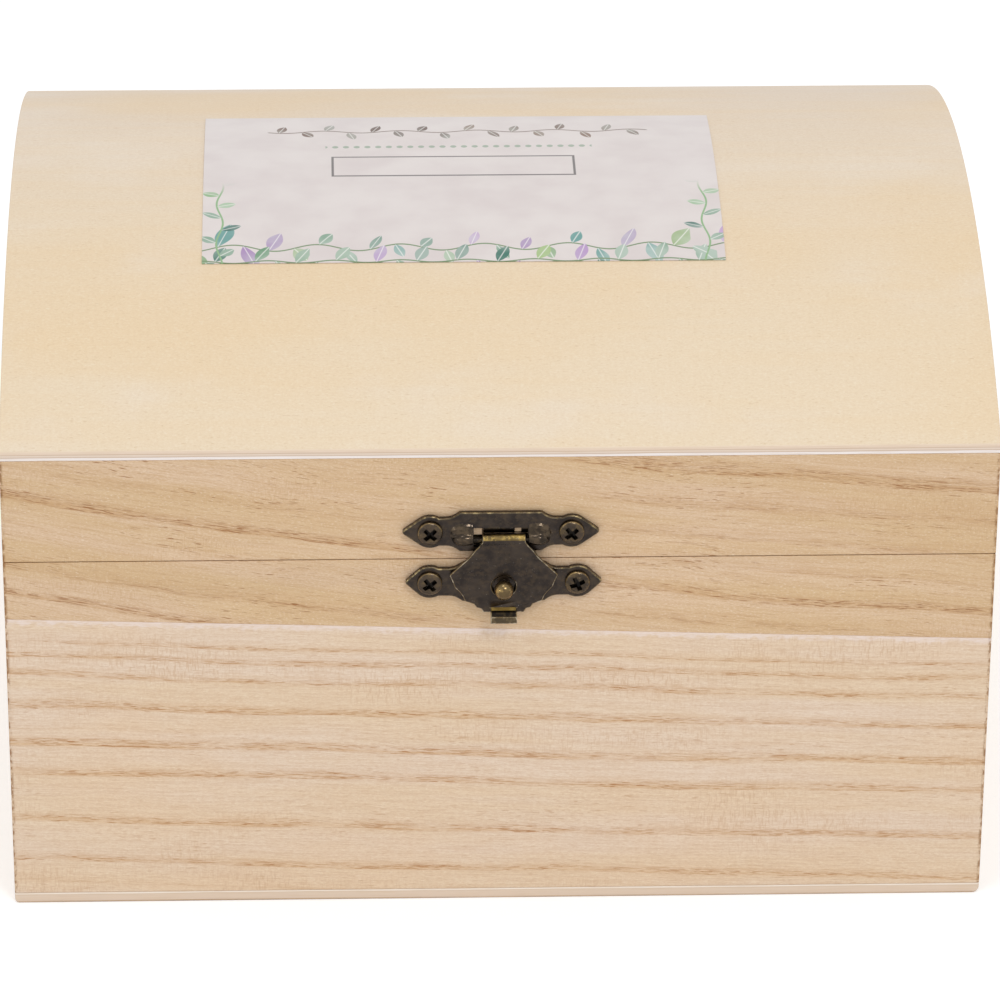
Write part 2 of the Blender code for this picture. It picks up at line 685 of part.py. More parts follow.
def cross_head_screw(name, head_radius, head_height, shank_radius, length):
    """Mesh of a domed cross-head screw along Z, its head seated on the plane z = 0."""
    rim = head_height * HEAD_RIM_SHARE
    rise = head_height - rim
    sphere = (head_radius**2 + rise**2) / (2 * rise)
    spread = math.asin(head_radius / sphere)
    dome = arc((0, head_height - sphere), sphere, math.pi / 2, math.pi / 2 - spread, DOME_STEPS)
    profile = [(0, head_height), *dome[1:], (head_radius, 0), (shank_radius, 0)]
    profile += [(shank_radius, -length * (1 - POINT_SHARE)), (0, -length)]
    blank = add_piece(name, turned(name, profile, ROUND_SIDES))

    long, wide = head_radius * CROSS_LENGTH_SHARE, head_radius * CROSS_WIDTH_SHARE
    quarter = [(long, -wide), (long, wide), (wide, wide)]
    cross = []
    for turn in range(4):
        angle = turn * math.pi / 2
        for x, y in quarter:
            across = x * math.cos(angle) - y * math.sin(angle)
            cross.append((across, x * math.sin(angle) + y * math.cos(angle)))
    depth = head_height * (1 - CROSS_DEPTH_SHARE)
    combine(blank, "DIFFERENCE", prism("cross_slot", cross, depth, head_height + OVERRUN, "Z"))
    settle(blank)
    mesh = blank.data
    bpy.data.objects.remove(blank, do_unlink=True)
    return mesh


def build_screws(carrier):
    """Four clasp screws in front and eight hinge screws behind, each driven to its own turn."""
    clasp_mesh = cross_head_screw(
        "clasp_screw", SCREW_HEAD_RADIUS, SCREW_HEAD_HEIGHT, SCREW_SHANK_RADIUS, SCREW_LENGTH
    )
    hinge_mesh = cross_head_screw(
        "hinge_screw",
        HINGE_SCREW_HEAD_RADIUS,
        HINGE_SCREW_HEAD_HEIGHT,
        HINGE_SCREW_SHANK_RADIUS,
        HINGE_SCREW_LENGTH,
    )
    clasp_finish = bronze("clasp screw bronze")
    hinge_finish = bronze("hinge screw bronze")
    upper, lower = mount_screw_places(), catch_screw_places()
    front = [
        ("mount_screw_left", upper[0], MOUNT_SCREW_TURNS[0], carrier),
        ("mount_screw_right", upper[1], MOUNT_SCREW_TURNS[1], carrier),
        ("catch_screw_left", lower[0], CATCH_SCREW_TURNS[0], None),
        ("catch_screw_right", lower[1], CATCH_SCREW_TURNS[1], None),
    ]
    for name, (x, z), driven, rides in front:
        at = (x, FRONT - SCREW_SEAT_OUT, z)
        turn = (math.pi / 2, driven, 0)
        add_piece(name, clasp_mesh, clasp_finish, at=at, turn=turn, carrier=rides)

    for row, upwards, rides in (("base", -1, None), ("lid", 1, carrier)):
        for number, (x, z) in enumerate(hinge_screw_places(upwards), start=1):
            at = (x, BACK + HINGE_SEAT_OUT, z)
            turn = (-math.pi / 2, number * HINGE_SCREW_TURN_STEP, 0)
            name = f"{row}_hinge_screw_{number}"
            add_piece(name, hinge_mesh, hinge_finish, at=at, turn=turn, carrier=rides)


def hinge_leaf(name, at, upwards, carrier):
    """A leaf with its curled knuckles; the base's has the outer two, the lid's the middle one."""
    side = curled_strip(HINGE_CURL_INNER, HINGE_CURL_OUTER, HINGE_WRAP, HINGE_LEAF_DEPTH)
    side = [(-across, -upwards * up) for across, up in side]
    half = HINGE_LENGTH / 2
    leaf = add_piece(
        name,
        prism(name, side, -half, half, "X"),
        bronze(f"{name} bronze"),
        at=at,
        carrier=carrier,
    )
    notch = box_outline(
        (-HINGE_CURL_OUTER - OVERRUN, -HINGE_CURL_OUTER - KNUCKLE_GAP),
        (HINGE_CURL_OUTER + OVERRUN, HINGE_CURL_OUTER + OVERRUN),
    )
    notch = [(across, -upwards * up) for across, up in notch]
    edge = KNUCKLE_HALF_LENGTH + upwards * -KNUCKLE_GAP / 2
    spans = [(-edge, edge)] if upwards < 0 else [(-half - OVERRUN, -edge), (edge, half + OVERRUN)]
    for low, high in spans:
        combine(leaf, "DIFFERENCE", prism(f"{name}_notch", notch, low, high, "X"))
    radius = HINGE_SCREW_SHANK_RADIUS + SCREW_HOLE_CLEARANCE
    for x in (-HINGE_SCREW_REACH_X, HINGE_SCREW_REACH_X):
        hole = circle((x, upwards * HINGE_SCREW_DROP), radius, HOLE_SIDES)
        reach = HINGE_PIN_OUT + OVERRUN
        combine(leaf, "DIFFERENCE", prism(f"{name}_hole", hole, -reach, 0, "Y"))
    settle(leaf)


def build_hinge(word, x, carrier):
    """One butt hinge on the back, its pin level with the seam."""
    at = (x, BACK + HINGE_PIN_OUT, SEAM_MIDDLE)
    hinge_leaf(f"{word}_hinge_base_leaf", at, -1, None)
    hinge_leaf(f"{word}_hinge_lid_leaf", at, 1, carrier)
    reach = HINGE_LENGTH / 2 + HINGE_PIN_OVERHANG
    pin = prism(
        f"{word}_hinge_pin", circle((0, 0), HINGE_PIN_RADIUS, ROUND_SIDES), -reach, reach, "X"
    )
    add_piece(f"{word}_hinge_pin", pin, bronze(f"{word} hinge pin bronze"), at=at)


def build_box():
    clear_scene()
    lid_axis = add_carrier("lid_axis", (0, BACK + HINGE_PIN_OUT, SEAM_MIDDLE))
    flap_place = (FLAP_SHIFT_X, FRONT - FLAP_PIN_OUT, FLAP_PIN_HEIGHT)
    flap_axis = add_carrier("flap_axis", flap_place, lid_axis)
    build_base()
    build_lid(lid_axis)
    build_label(lid_axis)
    build_mount_plate(lid_axis)
    build_flap(flap_axis)
    build_catch()
    build_screws(lid_axis)
    for word, side in (("left", -1), ("right", 1)):
        build_hinge(word, side * HINGE_REACH_X, lid_axis)


build_box()
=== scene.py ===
"""Wooden keepsake box with a bent plywood lid, a swing clasp at its front and two butt hinges."""
import math

import bmesh
import bpy
from mathutils import Matrix, Vector


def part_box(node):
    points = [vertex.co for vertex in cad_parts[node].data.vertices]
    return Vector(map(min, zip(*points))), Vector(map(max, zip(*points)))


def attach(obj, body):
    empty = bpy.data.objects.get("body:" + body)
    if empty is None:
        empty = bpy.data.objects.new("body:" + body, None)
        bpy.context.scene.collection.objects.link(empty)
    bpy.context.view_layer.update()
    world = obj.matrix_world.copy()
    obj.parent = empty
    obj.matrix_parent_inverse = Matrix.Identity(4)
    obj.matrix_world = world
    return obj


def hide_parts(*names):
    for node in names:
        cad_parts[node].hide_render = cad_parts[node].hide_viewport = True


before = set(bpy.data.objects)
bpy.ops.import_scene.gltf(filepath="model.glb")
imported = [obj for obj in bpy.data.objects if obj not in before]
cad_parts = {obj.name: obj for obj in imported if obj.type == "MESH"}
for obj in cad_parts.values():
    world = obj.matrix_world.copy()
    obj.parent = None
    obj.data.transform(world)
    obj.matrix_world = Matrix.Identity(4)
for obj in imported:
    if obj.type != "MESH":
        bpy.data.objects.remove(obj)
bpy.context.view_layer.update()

# Sizes of the box, in millimetres; MM turns them into metres
MM = 0.001
LENGTH = 150.0
DEPTH = 130.0
HALF_DEPTH = DEPTH / 2
HEIGHT = 96.0
CREST_RISE = 17.0
PLY = 1.5
BOTTOM_PLY = 1.8
GLUE_GAP = 0.3
GLUE_LINE_HEIGHT = 47.95
GLUE_LINE_FALL = 0.0327
SEAM_CLOSING = 0.07
ARCH_RADIUS = (CREST_RISE ** 2 + HALF_DEPTH ** 2) / (2 * CREST_RISE)
ARCH_CENTRE = HEIGHT - ARCH_RADIUS
ARCH_FOOT = 70
ARCH_CLOSING = 0.28
END_JOINT = 57.8
LABEL_PLACE = (-4.7, -4.8)

# Sizes of the clasp: widths, heights from the floor, and how far out a thing is from the box's front
CLASP_SHIFT = 0.45
PLATE_BACK = 0.3
PLATE_FRONT = 1.0
WINDOW_LOW = 62.5
WINDOW_HIGH = 66.2
WINDOW_HALF = 7.0
PIN_HEIGHT = 64.0
HOOD_START = 4.25
HOOD_FOOT = 62.95
HOOD_STEP = 0.085
HOOD_MIDDLE = (5.6, 64.85)
NECK_LOW = 61.3
NECK_TOP = 64.1
NECK_FLARE = 0.28
ROLL_WIDER = 0.12
# How far out from the front the top of the ledge turns to painted shade
LEDGE_SHADE_FROM = 2.85
TAB_TOP_OUT = 3.48
TAB_KNEE = 51.9
TAB_KNEE_OUT = 3.58
TAB_HALF = 1.98
TAB_RIB = 0.11
BALL_RADIUS = 1.5
BALL_OUT = 3.2
SCREW_SEAT_OUT = 1.02
CLASP_SCREW_RADIUS = 1.9
HINGE_SCREW_RADIUS = 1.5
HINGE_SCREW_DOME = 0.56

# Which finish of the flap a face takes, after 0 for the plain bronze and 1 for its rubbed edges; the ledge
# and lip are lightened as painted light and the shade corner is painted shade
ROLL, LEDGE, LIP, SHADE_CORNER = 2, 3, 4, 5

# The floor, the surroundings, the lamps (name, place, size, power) and the camera
FLOOR_SIZE = 6.0
FLOOR_GLOW = 0.28
SKY_GIVEN = 0.78
SKY_SEEN = 1.0
LAMPS = [("key", (0.24, -0.66, 0.80), 0.16, 1.6), ("overhead", (-0.14, -0.22, 1.05), 0.2, 0.9),
         ("side", (-0.78, -0.63, 0.31), 0.14, 0.3)]
LAMP_AIM = (0, -0.03, 0.05)
CAMERA_PLACE = (-0.0272, -0.8598, 0.4935)
CAMERA_TURN = (1.95, 28.03, -0.41)
CAMERA_LENS = 216
CAMERA_SENSOR = 36

# Nodes that are used often, by a short name: each is a kind of node with its settings
SUMS = {"plus": "ADD", "less": "SUBTRACT", "times": "MULTIPLY", "over": "DIVIDE", "most": "MAXIMUM",
        "unsigned": "ABSOLUTE", "times plus": "MULTIPLY_ADD"}
OFTEN = {word: ("Math", {"operation": operation}) for word, operation in SUMS.items()}
OFTEN["rise"] = ("MapRange", {"interpolation_type": "SMOOTHSTEP"})
OFTEN["blend"] = ("Mix", {"data_type": "RGBA"})
BLACK = (0, 0, 0, 1)


def linear(colour):
    """An sRGB hex colour as the linear colour that a shader takes."""
    parts = [int(colour[i:i + 2], 16) / 255 for i in (1, 3, 5)]
    return tuple(p / 12.92 if p <= 0.04045 else ((p + 0.055) / 1.055) ** 2.4 for p in parts) + (1.0,)


def feed(node, values):
    """Gives a node its values; a value that is a node or a socket is linked in."""
    for key, value in values.items():
        if isinstance(value, bpy.types.Node):
            value = next(output for output in value.outputs if output.enabled)
        if isinstance(value, bpy.types.NodeSocket):
            node.id_data.links.new(value, node.inputs[key])
        else:
            node.inputs[key].default_value = value


def add(tree, kind, *values, **settings):
    """Adds one node with its settings and links. The values come in the order of the node's inputs,
    or in a dictionary that says which input each is for."""
    kind, usual = OFTEN.get(kind, (kind, {}))
    made = tree.nodes.new(kind if "Node" in kind else "ShaderNode" + kind)
    for key, setting in {**usual, **settings}.items():
        setattr(made, key, setting)
    for place, value in enumerate(values):
        feed(made, value if isinstance(value, dict) else {place: value})
    return made


def bare_finish(name, **constants):
    """A new material with its tree and its shader, some of whose values are set."""
    finish = bpy.data.materials.new(name)
    finish.use_nodes = True
    shader = next(node for node in finish.node_tree.nodes if node.type == "BSDF_PRINCIPLED")
    feed(shader, {key.replace("_", " "): value for key, value in constants.items()})
    return finish, finish.node_tree, shader


def new_finish(name, **constants):
    """A new material: its tree, its shader, and the place on the box in millimetres as x, y and z."""
    finish, tree, shader = bare_finish(name, **constants)
    where = add(tree, "TexCoord").outputs["Object"]
    place = add(tree, "VectorMath", {0: where, "Scale": 1 / MM}, operation="SCALE")
    return finish, tree, shader, tuple(add(tree, "SeparateXYZ", place).outputs)


def stretched(tree, place, sizes, seed, detail=2.0, roughness=0.5):
    """Soft cloudy pattern whose patches are about as large as the three sizes, in millimetres."""
    scaled = [add(tree, "times", part, 1 / size) for part, size in zip(place, sizes)]
    vector = add(tree, "CombineXYZ", *scaled)
    moved = add(tree, "VectorMath", vector, (seed, seed * 1.7, seed * 0.6))
    return add(tree, "TexNoise", {"Vector": moved, "Scale": 1.0, "Detail": detail, "Roughness": roughness})


def mottled(tree, place, sizes, seed, start, full, low=0.0, high=1.0, detail=2.0, roughness=0.5):
    """Patches of a cloudy pattern: low where it stays under the start, high where it is full."""
    pattern = stretched(tree, place, sizes, seed, detail, roughness)
    return add(tree, "rise", pattern, start, full, low, high)


def laid_over(tree, colour, layers):
    """Lays tones over a colour. A layer is (tone, share), or (tone, strength, pattern, start, full)
    for a share that rises to the strength while the pattern passes from start to full."""
    for tone, share, *rise in layers:
        if rise:
            share = add(tree, "rise", *rise, 0.0, share)
        tone = linear(tone) if isinstance(tone, str) else tone
        colour = add(tree, "blend", {0: share, 6: colour, 7: tone})
    return colour


def set_stops(ramp, stops):
    """Sets a ramp's stops, given in order as (position, colour)."""
    elements = ramp.color_ramp.elements
    elements[0].position, elements[0].color = stops[0]
    elements[1].position, elements[1].color = stops[-1]
    for position, colour in stops[1:-1]:
        elements.new(position).color = colour


def grain_height(tree, place, slope, bend, wobble, seed):
    """Height across a board's growth lines, which slope and bend along it and waver."""
    x, y, z = place
    height = add(tree, "times plus", x, slope, z)
    height = add(tree, "times plus", add(tree, "times", x, x), bend, height)
    drift = mottled(tree, place, (38, 30, 16), seed, 0.25, 0.75, -wobble, wobble)
    height = add(tree, "plus", height, drift)
    waver = mottled(tree, place, (13, 9, 6), seed + 3, 0.25, 0.75, -0.12, 0.12)
    return add(tree, "plus", height, waver)


def growth_lines(tree, x, height, span, groups):
    """Strength of the growth lines: each is sharp below and fades upward, and each group of them
    (height, fade, strength) shows from one place along the board to another."""
    strongest = 0.0
    for lines, left, right in groups:
        stops = [(0.0, BLACK)]
        for low, fade, strength in sorted(lines):
            sharp = [(low - 0.4, 0.0), (low, strength)]
            faded = [(low + 0.4 * fade, 0.6 * strength), (low + 1.2 * fade, 0.0)]
            for at, share in sharp + faded:
                position = max(stops[-1][0] + 0.0005, at / span)
                stops.append((position, (share, share, share, 1)))
        ramp = add(tree, "ValToRGB", add(tree, "over", height, span))
        set_stops(ramp, stops + [(1.0, BLACK)])
        after_left = add(tree, "rise", x, left - 8, left + 8)
        before_right = add(tree, "rise", x, right + 8, right - 8)
        here = add(tree, "times", after_left, before_right)
        shown = add(tree, "times", ramp.outputs["Color"], here)
        strongest = add(tree, "most", strongest, shown)
    return strongest


def sawn_board(name, seed, tones, groups, span, slope, bend, wobble, pore_reach, chatter, glued=False,
               browned=True):
    """Pale sawn and lightly sanded board: growth lines made of short brown pores, soft fibres
    along the grain, faint marks of the saw across it, and pinkish and tan zones."""
    finish, tree, shader, place = new_finish(name, Roughness=0.62, Specular_IOR_Level=0.3)
    x, y, z = place
    pale, tan, warm, fibre, line_tone, pore_tone = tones
    height = grain_height(tree, place, slope, bend, wobble, seed)
    lines = growth_lines(tree, x, height, span, groups)
    grain = (x, y, height)

    zones = stretched(tree, grain, (70, 40, 5.5), seed + 5)
    clouds = stretched(tree, grain, (24, 20, 14), seed + 7)
    fibres = stretched(tree, grain, (11, 1.2, 0.30), seed + 9, 3)
    fine = stretched(tree, grain, (3.2, 0.6, 0.16), seed + 11)
    grit = stretched(tree, grain, (0.5, 0.3, 0.13), seed + 12, roughness=0.7)
    broken = mottled(tree, grain, (9, 6, 2.5), seed + 15, 0.3, 0.6, 0.45, 1.0)
    streaked = add(tree, "rise", fibres, 0.2, 0.65, 0.45, 1.0)
    haze = lines
    for share in (streaked, broken, 0.5):
        haze = add(tree, "times", haze, share)
    in_line = mottled(tree, grain, (1.9, 0.5, 0.11), seed + 13, 0.49, 0.565, detail=1.5)
    on_line = add(tree, "rise", lines, 0.10, 0.55)
    strands = mottled(tree, grain, (8, 2, 0.24), seed + 14, 0.42, 0.56, 0.25, 1.0, detail=1)
    for share in (on_line, strands, broken):
        in_line = add(tree, "times", in_line, share)
    sparse = mottled(tree, grain, (2.1, 0.6, 0.17), seed + 17, 0.64, 0.71, detail=1)
    gathered = mottled(tree, grain, (22, 12, 4.5), seed + 19, 0.42, 0.68, 0.15, 1.0)
    for share in (gathered, pore_reach):
        sparse = add(tree, "times", sparse, share)
    pore = add(tree, "most", in_line, sparse)
    stain = add(tree, "times", pore, 0.8)
    saw = mottled(tree, grain, (0.2, 0.6, 1.2), seed + 23, 0.50, 0.66, detail=1)
    sawn = mottled(tree, place, (34, 20, 9), seed + 29, 0.48, 0.7, 0.1, 1.0)
    for share in (sawn, chatter):
        saw = add(tree, "times", saw, share)

    colour = laid_over(tree, linear(pale), [
        (tan, 1.0, zones, 0.36, 0.62), (warm, 0.45, clouds, 0.45, 0.75), (fibre, 0.34, fibres, 0.35, 0.7),
        (fibre, 0.55, fine, 0.50, 0.74), (fibre, 0.42, grit, 0.45, 0.72), ("#F3E4D0", 0.5, grit, 0.46, 0.26),
        (line_tone, haze), (pore_tone, stain), (fibre, saw)])
    if glued:
        colour = glue_fluff(tree, place, colour)
    colour = finished_ends(tree, place, colour, seed, browned)
    lift = add(tree, "times", fibres, 0.5)
    for pattern, rise in ((pore, -0.8), (saw, -0.5)):
        lift = add(tree, "times plus", pattern, rise, lift)
    bump = add(tree, "Bump", {"Height": lift, "Strength": 0.35, "Distance": 0.06 * MM})
    feed(shader, {"Base Color": colour, "Normal": bump})
    return finish


def glue_fluff(tree, place, colour):
    """The pale fluff that sanding leaves on the lower board under the slanting glue line."""
    x, y, z = place
    line = add(tree, "times plus", x, -GLUE_LINE_FALL, GLUE_LINE_HEIGHT)
    below = add(tree, "less", line, z)
    ragged = mottled(tree, place, (1.3, 1.0, 0.7), 9, 0.3, 0.7, -0.35, 0.35)
    below = add(tree, "plus", below, ragged)
    near = add(tree, "rise", below, 1.25, 0.25, 0.0, 0.85)
    fluff = mottled(tree, place, (1.6, 0.8, 0.16), 19, 0.3, 0.62, 0.35, 1.0)
    return laid_over(tree, colour, [("#EFDFD7", add(tree, "times", near, fluff))])


def finished_ends(tree, place, colour, seed, browned):
    """A board's ends: their cut grain is darker than the face, with rings across the thickness and
    open pores, and sanding leaves spots of brown beside it."""
    x, y, z = place
    facing = add(tree, "SeparateXYZ", add(tree, "NewGeometry").outputs["True Normal"])
    sideways = add(tree, "MapRange", add(tree, "unsigned", facing.outputs[0]), 0.75, 0.95)
    outer = add(tree, "MapRange", add(tree, "unsigned", y), END_JOINT, END_JOINT + 0.1)
    cut = add(tree, "times", sideways, outer)
    rings = stretched(tree, place, (20, 1.1, 16), seed + 37)
    holes = stretched(tree, place, (0.3, 0.24, 0.3), seed + 41)
    face = laid_over(tree, linear("#DCC09C"), [("#C8A074", 1.0, rings, 0.38, 0.66),
                                               ("#9A7248", 0.45, holes, 0.56, 0.72)])
    colour = laid_over(tree, colour, [(face, cut)])
    if not browned:
        return colour
    from_middle = add(tree, "unsigned", x)
    end = add(tree, "rise", from_middle, LENGTH / 2 - 0.62, LENGTH / 2 - 0.12)
    end = add(tree, "less", end, cut, use_clamp=True)
    spots = mottled(tree, place, (0.5, 0.5, 1.1), seed + 31, 0.42, 0.6, 0.12, 0.85)
    return laid_over(tree, colour, [("#8E6136", add(tree, "times", end, spots))])


def upper_board_finish():
    """Flat-sawn paulownia board, planed: tan, with steep brown growth lines and scattered pores."""
    tones = ("#E2C6A8", "#DBBD95", "#DFC09B", "#CAA57C", "#C3955F", "#955C2A")
    left = [(43.0, 1.4, 0.8), (47.4, 2.6, 0.42), (53.0, 2.6, 0.12), (59.4, 1.7, 0.95), (64.3, 2.2, 0.35),
            (70.5, 3.0, 0.18)]
    right = [(52.5, 2.4, 0.42), (57.2, 2.0, 0.75), (62.0, 3.0, 0.3), (66.6, 3.2, 0.36), (72.0, 3.4, 0.4),
             (78.1, 2.6, 0.9)]
    return sawn_board("planed_tan_board", 4.2, tones, [(left, -90, -6), (right, 12, 90)], span=100.0,
                      slope=0.13, bend=-0.0004, wobble=0.5, pore_reach=1.0, chatter=0.5)


def lower_board_finish():
    """Rift-sawn paulownia board, sawn and sanded: pinkish cream with near level growth lines."""
    tones = ("#E9D5C1", "#E8D1B5", "#E9CEB0", "#D3B291", "#D2A56E", "#AD743C")
    high = [(43.6, 0.9, 0.6), (41.1, 1.0, 0.8), (37.8, 1.2, 0.8), (32.3, 1.5, 0.9), (25.8, 1.5, 1.0),
            (20.7, 1.4, 0.9)]
    low = [(12.4, 1.5, 0.85), (5.3, 1.3, 0.8), (28.6, 0.7, 0.2), (1.2, 1.2, 0.3)]
    return sawn_board("sawn_pale_board", 11.0, tones, [(high, -90, 90), (low, -90, 90)], span=60.0,
                      slope=0.037, bend=0.0, wobble=0.35, pore_reach=0.5, chatter=0.62, glued=True)


def side_board_finish():
    """Paulownia board, sawn and sanded: pinkish cream with soft level growth lines."""
    tones = ("#E3CCB5", "#DFC5A3", "#E1C29D", "#D0B08E", "#CCA376", "#A57648")
    low = [(3.6, 1.5, 0.6), (9.4, 1.6, 0.7), (17.5, 1.3, 0.4), (23.8, 1.8, 0.75), (33.0, 2.2, 0.5),
           (38.2, 1.4, 0.3), (45.5, 1.4, 0.65)]
    high = [(51.5, 1.5, 0.4), (55.2, 1.5, 0.55), (64.5, 2.0, 0.5), (69.0, 1.8, 0.6), (77.5, 2.6, 0.45),
            (83.0, 2.0, 0.3), (89.0, 2.0, 0.5)]
    return sawn_board("sanded_end_board", 21.0, tones, [(low, -90, 90), (high, -90, 90)], span=110.0,
                      slope=0.02, bend=0.0, wobble=1.1, pore_reach=0.8, chatter=0.35, browned=False)


def plywood_finish(name, tones, edge, bent, clouds_at=(0, 0)):
    """Rotary-cut veneer, sanded smooth: pale cream with broad warm clouds and tiny fibre flecks,
    and on its cut edge the bands of its edge stops: the pale, brown and white layers of the sheet, and for
    the bottom panel a painted shadow line along its lower edge."""
    finish, tree, shader, place = new_finish(name, Roughness=0.5, Specular_IOR_Level=0.35)
    x, y, z = place
    front, back, warm, cool, fleck_tone = tones
    clouds = stretched(tree, place, (62, 34, 60), clouds_at[0] + 2.0)
    patches = stretched(tree, place, (26, 15, 40), clouds_at[1] + 5.0, 3)
    bands = stretched(tree, place, (60, 2.6, 30), 8.0, 3)
    flecks = stretched(tree, place, (0.95, 0.19, 4.0), 3.0, 1)
    threads = stretched(tree, place, (0.26, 7.0, 9.0), 6.0, 1)
    grit = stretched(tree, place, (0.45, 0.3, 0.3), 16.0, 3, 0.7)
    colour = laid_over(tree, linear(front), [
        (back, 1.0, y, -50, 60), (warm, 0.6, clouds, 0.42, 0.68), (cool, 0.4, patches, 0.5, 0.75),
        (warm, 0.22, bands, 0.4, 0.72), (fleck_tone, 0.34, flecks, 0.66, 0.76),
        ("#F1E6CF", 0.3, flecks, 0.36, 0.27), (fleck_tone, 0.035, threads, 0.5, 0.8),
        (fleck_tone, 0.16, grit, 0.45, 0.72), ("#F3EADA", 0.30, grit, 0.48, 0.26)])

    if bent:
        stored = add(tree, "Attribute", attribute_name="sheet_depth", attribute_type="GEOMETRY")
        depth = stored.outputs["Fac"]
    else:
        depth = add(tree, "over", z, BOTTOM_PLY)
    waver = mottled(tree, place, (30, 30, 3.0), 1.0, 0.3, 0.7, -0.03, 0.03)
    ramp = add(tree, "ValToRGB", add(tree, "plus", depth, waver))
    set_stops(ramp, [(at, linear(tone)) for at, tone in edge])
    streaks = stretched(tree, place, (7.0, 3.0, 0.14), 14.0)
    cut = laid_over(tree, ramp.outputs["Color"], [("#D9BFA0", 0.35, streaks, 0.45, 0.7)])
    facing = add(tree, "SeparateXYZ", add(tree, "NewGeometry").outputs["True Normal"])
    flat = add(tree, "unsigned", facing.outputs[2])
    colour = laid_over(tree, colour, [(cut, 1.0, flat, 0.7, 0.5)])

    sunk = add(tree, "rise", flecks, 0.66, 0.76, 0.0, -0.5)
    lift = add(tree, "times plus", bands, 0.6, sunk)
    bump = add(tree, "Bump", {"Height": lift, "Strength": 0.2, "Distance": 0.05 * MM})
    gloss = add(tree, "rise", patches, 0.35, 0.75, 0.56, 0.42)
    feed(shader, {"Base Color": colour, "Roughness": gloss, "Normal": bump})
    return finish


def bent_plywood_finish():
    """Bent three-layer plywood of the lid, its depth read from the sheet's own attribute."""
    tones = ("#E7D4B8", "#E2D2C1", "#E7CDA7", "#E8DBCB", "#C4A378")
    edge = [(0.0, "#EEDCC4"), (0.16, "#EBD6C0"), (0.34, "#E8D3C0"), (0.40, "#CDB298"), (0.46, "#E9D8C8"),
            (0.60, "#E4D1C0"), (0.64, "#BEA186"), (0.69, "#F4EBE6"), (0.95, "#F6EFEC"), (1.0, "#D8C3AE")]
    return plywood_finish("bent_birch_plywood", tones, edge, bent=True)


def bottom_panel_finish():
    """Thin plywood of the bottom: pale, with a white upper veneer and a brown lower edge that is a painted
    shadow line.
    """
    tones = ("#E2CDB8", "#E0CBB4", "#E2C8A8", "#E6D6C6", "#C9A87C")
    # The brown at the foot of the edge is a painted shadow line
    edge = [(0.0, "#8E6E50"), (0.10, "#C3A484"), (0.20, "#E2CDB9"), (0.70, "#E4D0BC"), (0.80, "#DCC6B0"),
            (0.86, "#F4E9DC"), (1.0, "#F2E6D8")]
    return plywood_finish("sawn_plywood_bottom", tones, edge, bent=False, clouds_at=(20, 30))


def vine(tree, along, across, period, leaf, wave, seed, reach):
    """Running sprig of leaves along a line: where leaf or stem shows, the leaf's own number, its rib."""
    step = add(tree, "over", along, period)
    count = add(tree, "Math", step, operation="FLOOR")
    local = add(tree, "less", add(tree, "Math", step, operation="FRACT"), 0.3)
    local = add(tree, "times", local, period)
    odd = add(tree, "Math", count, 1.0, operation="PINGPONG")
    side = add(tree, "times plus", odd, -2.0, 1.0)
    swing = add(tree, "Math", add(tree, "times", along, 1.9 / period), operation="SINE")
    off = add(tree, "times plus", swing, -wave, across)
    up = add(tree, "times", off, side)
    number = add(tree, "TexWhiteNoise", {"W": add(tree, "plus", count, seed)}, noise_dimensions="1D")
    tilt = add(tree, "rise", number, 0.0, 1.0, 1.0, 1.3)
    cosine = add(tree, "Math", tilt, operation="COSINE")
    sine = add(tree, "Math", tilt, operation="SINE")
    forward = add(tree, "times plus", up, sine, add(tree, "times", local, cosine))
    aside = add(tree, "times", up, cosine)
    aside = add(tree, "unsigned", add(tree, "less", aside, add(tree, "times", local, sine)))
    length = add(tree, "times", reach, leaf)
    share = add(tree, "over", forward, length)
    fullness = add(tree, "times", share, add(tree, "less", 1.0, share))
    fullness = add(tree, "times", fullness, length)
    shown = add(tree, "rise", add(tree, "less", fullness, aside), 0.0, 0.12)
    rib = add(tree, "times", shown, add(tree, "rise", aside, 0.14, 0.05))
    stem = add(tree, "rise", add(tree, "unsigned", off), 0.2, 0.1)
    return shown, stem, number, rib


def printed_vine(tree, colour, wash, sprig, window, tones, stem_tone):
    """Prints one sprig over a colour: its stem, its washed leaves and their pale ribs."""
    shown, stem, number, rib = vine(tree, *sprig)
    ramp = add(tree, "ValToRGB", number)
    ramp.color_ramp.interpolation = "CONSTANT"
    set_stops(ramp, [(i / len(tones), linear(tone)) for i, tone in enumerate(tones)])
    washed = laid_over(tree, ramp.outputs["Color"], [("#D9E0D8", 0.5, wash, 0.35, 0.7)])
    faint_rib = add(tree, "times", rib, 0.6)
    return laid_over(tree, colour, [(tone, add(tree, "times", part, window)) for tone, part in (
        (stem_tone, stem), (washed, shown), ("#F0EEEA", faint_rib))])


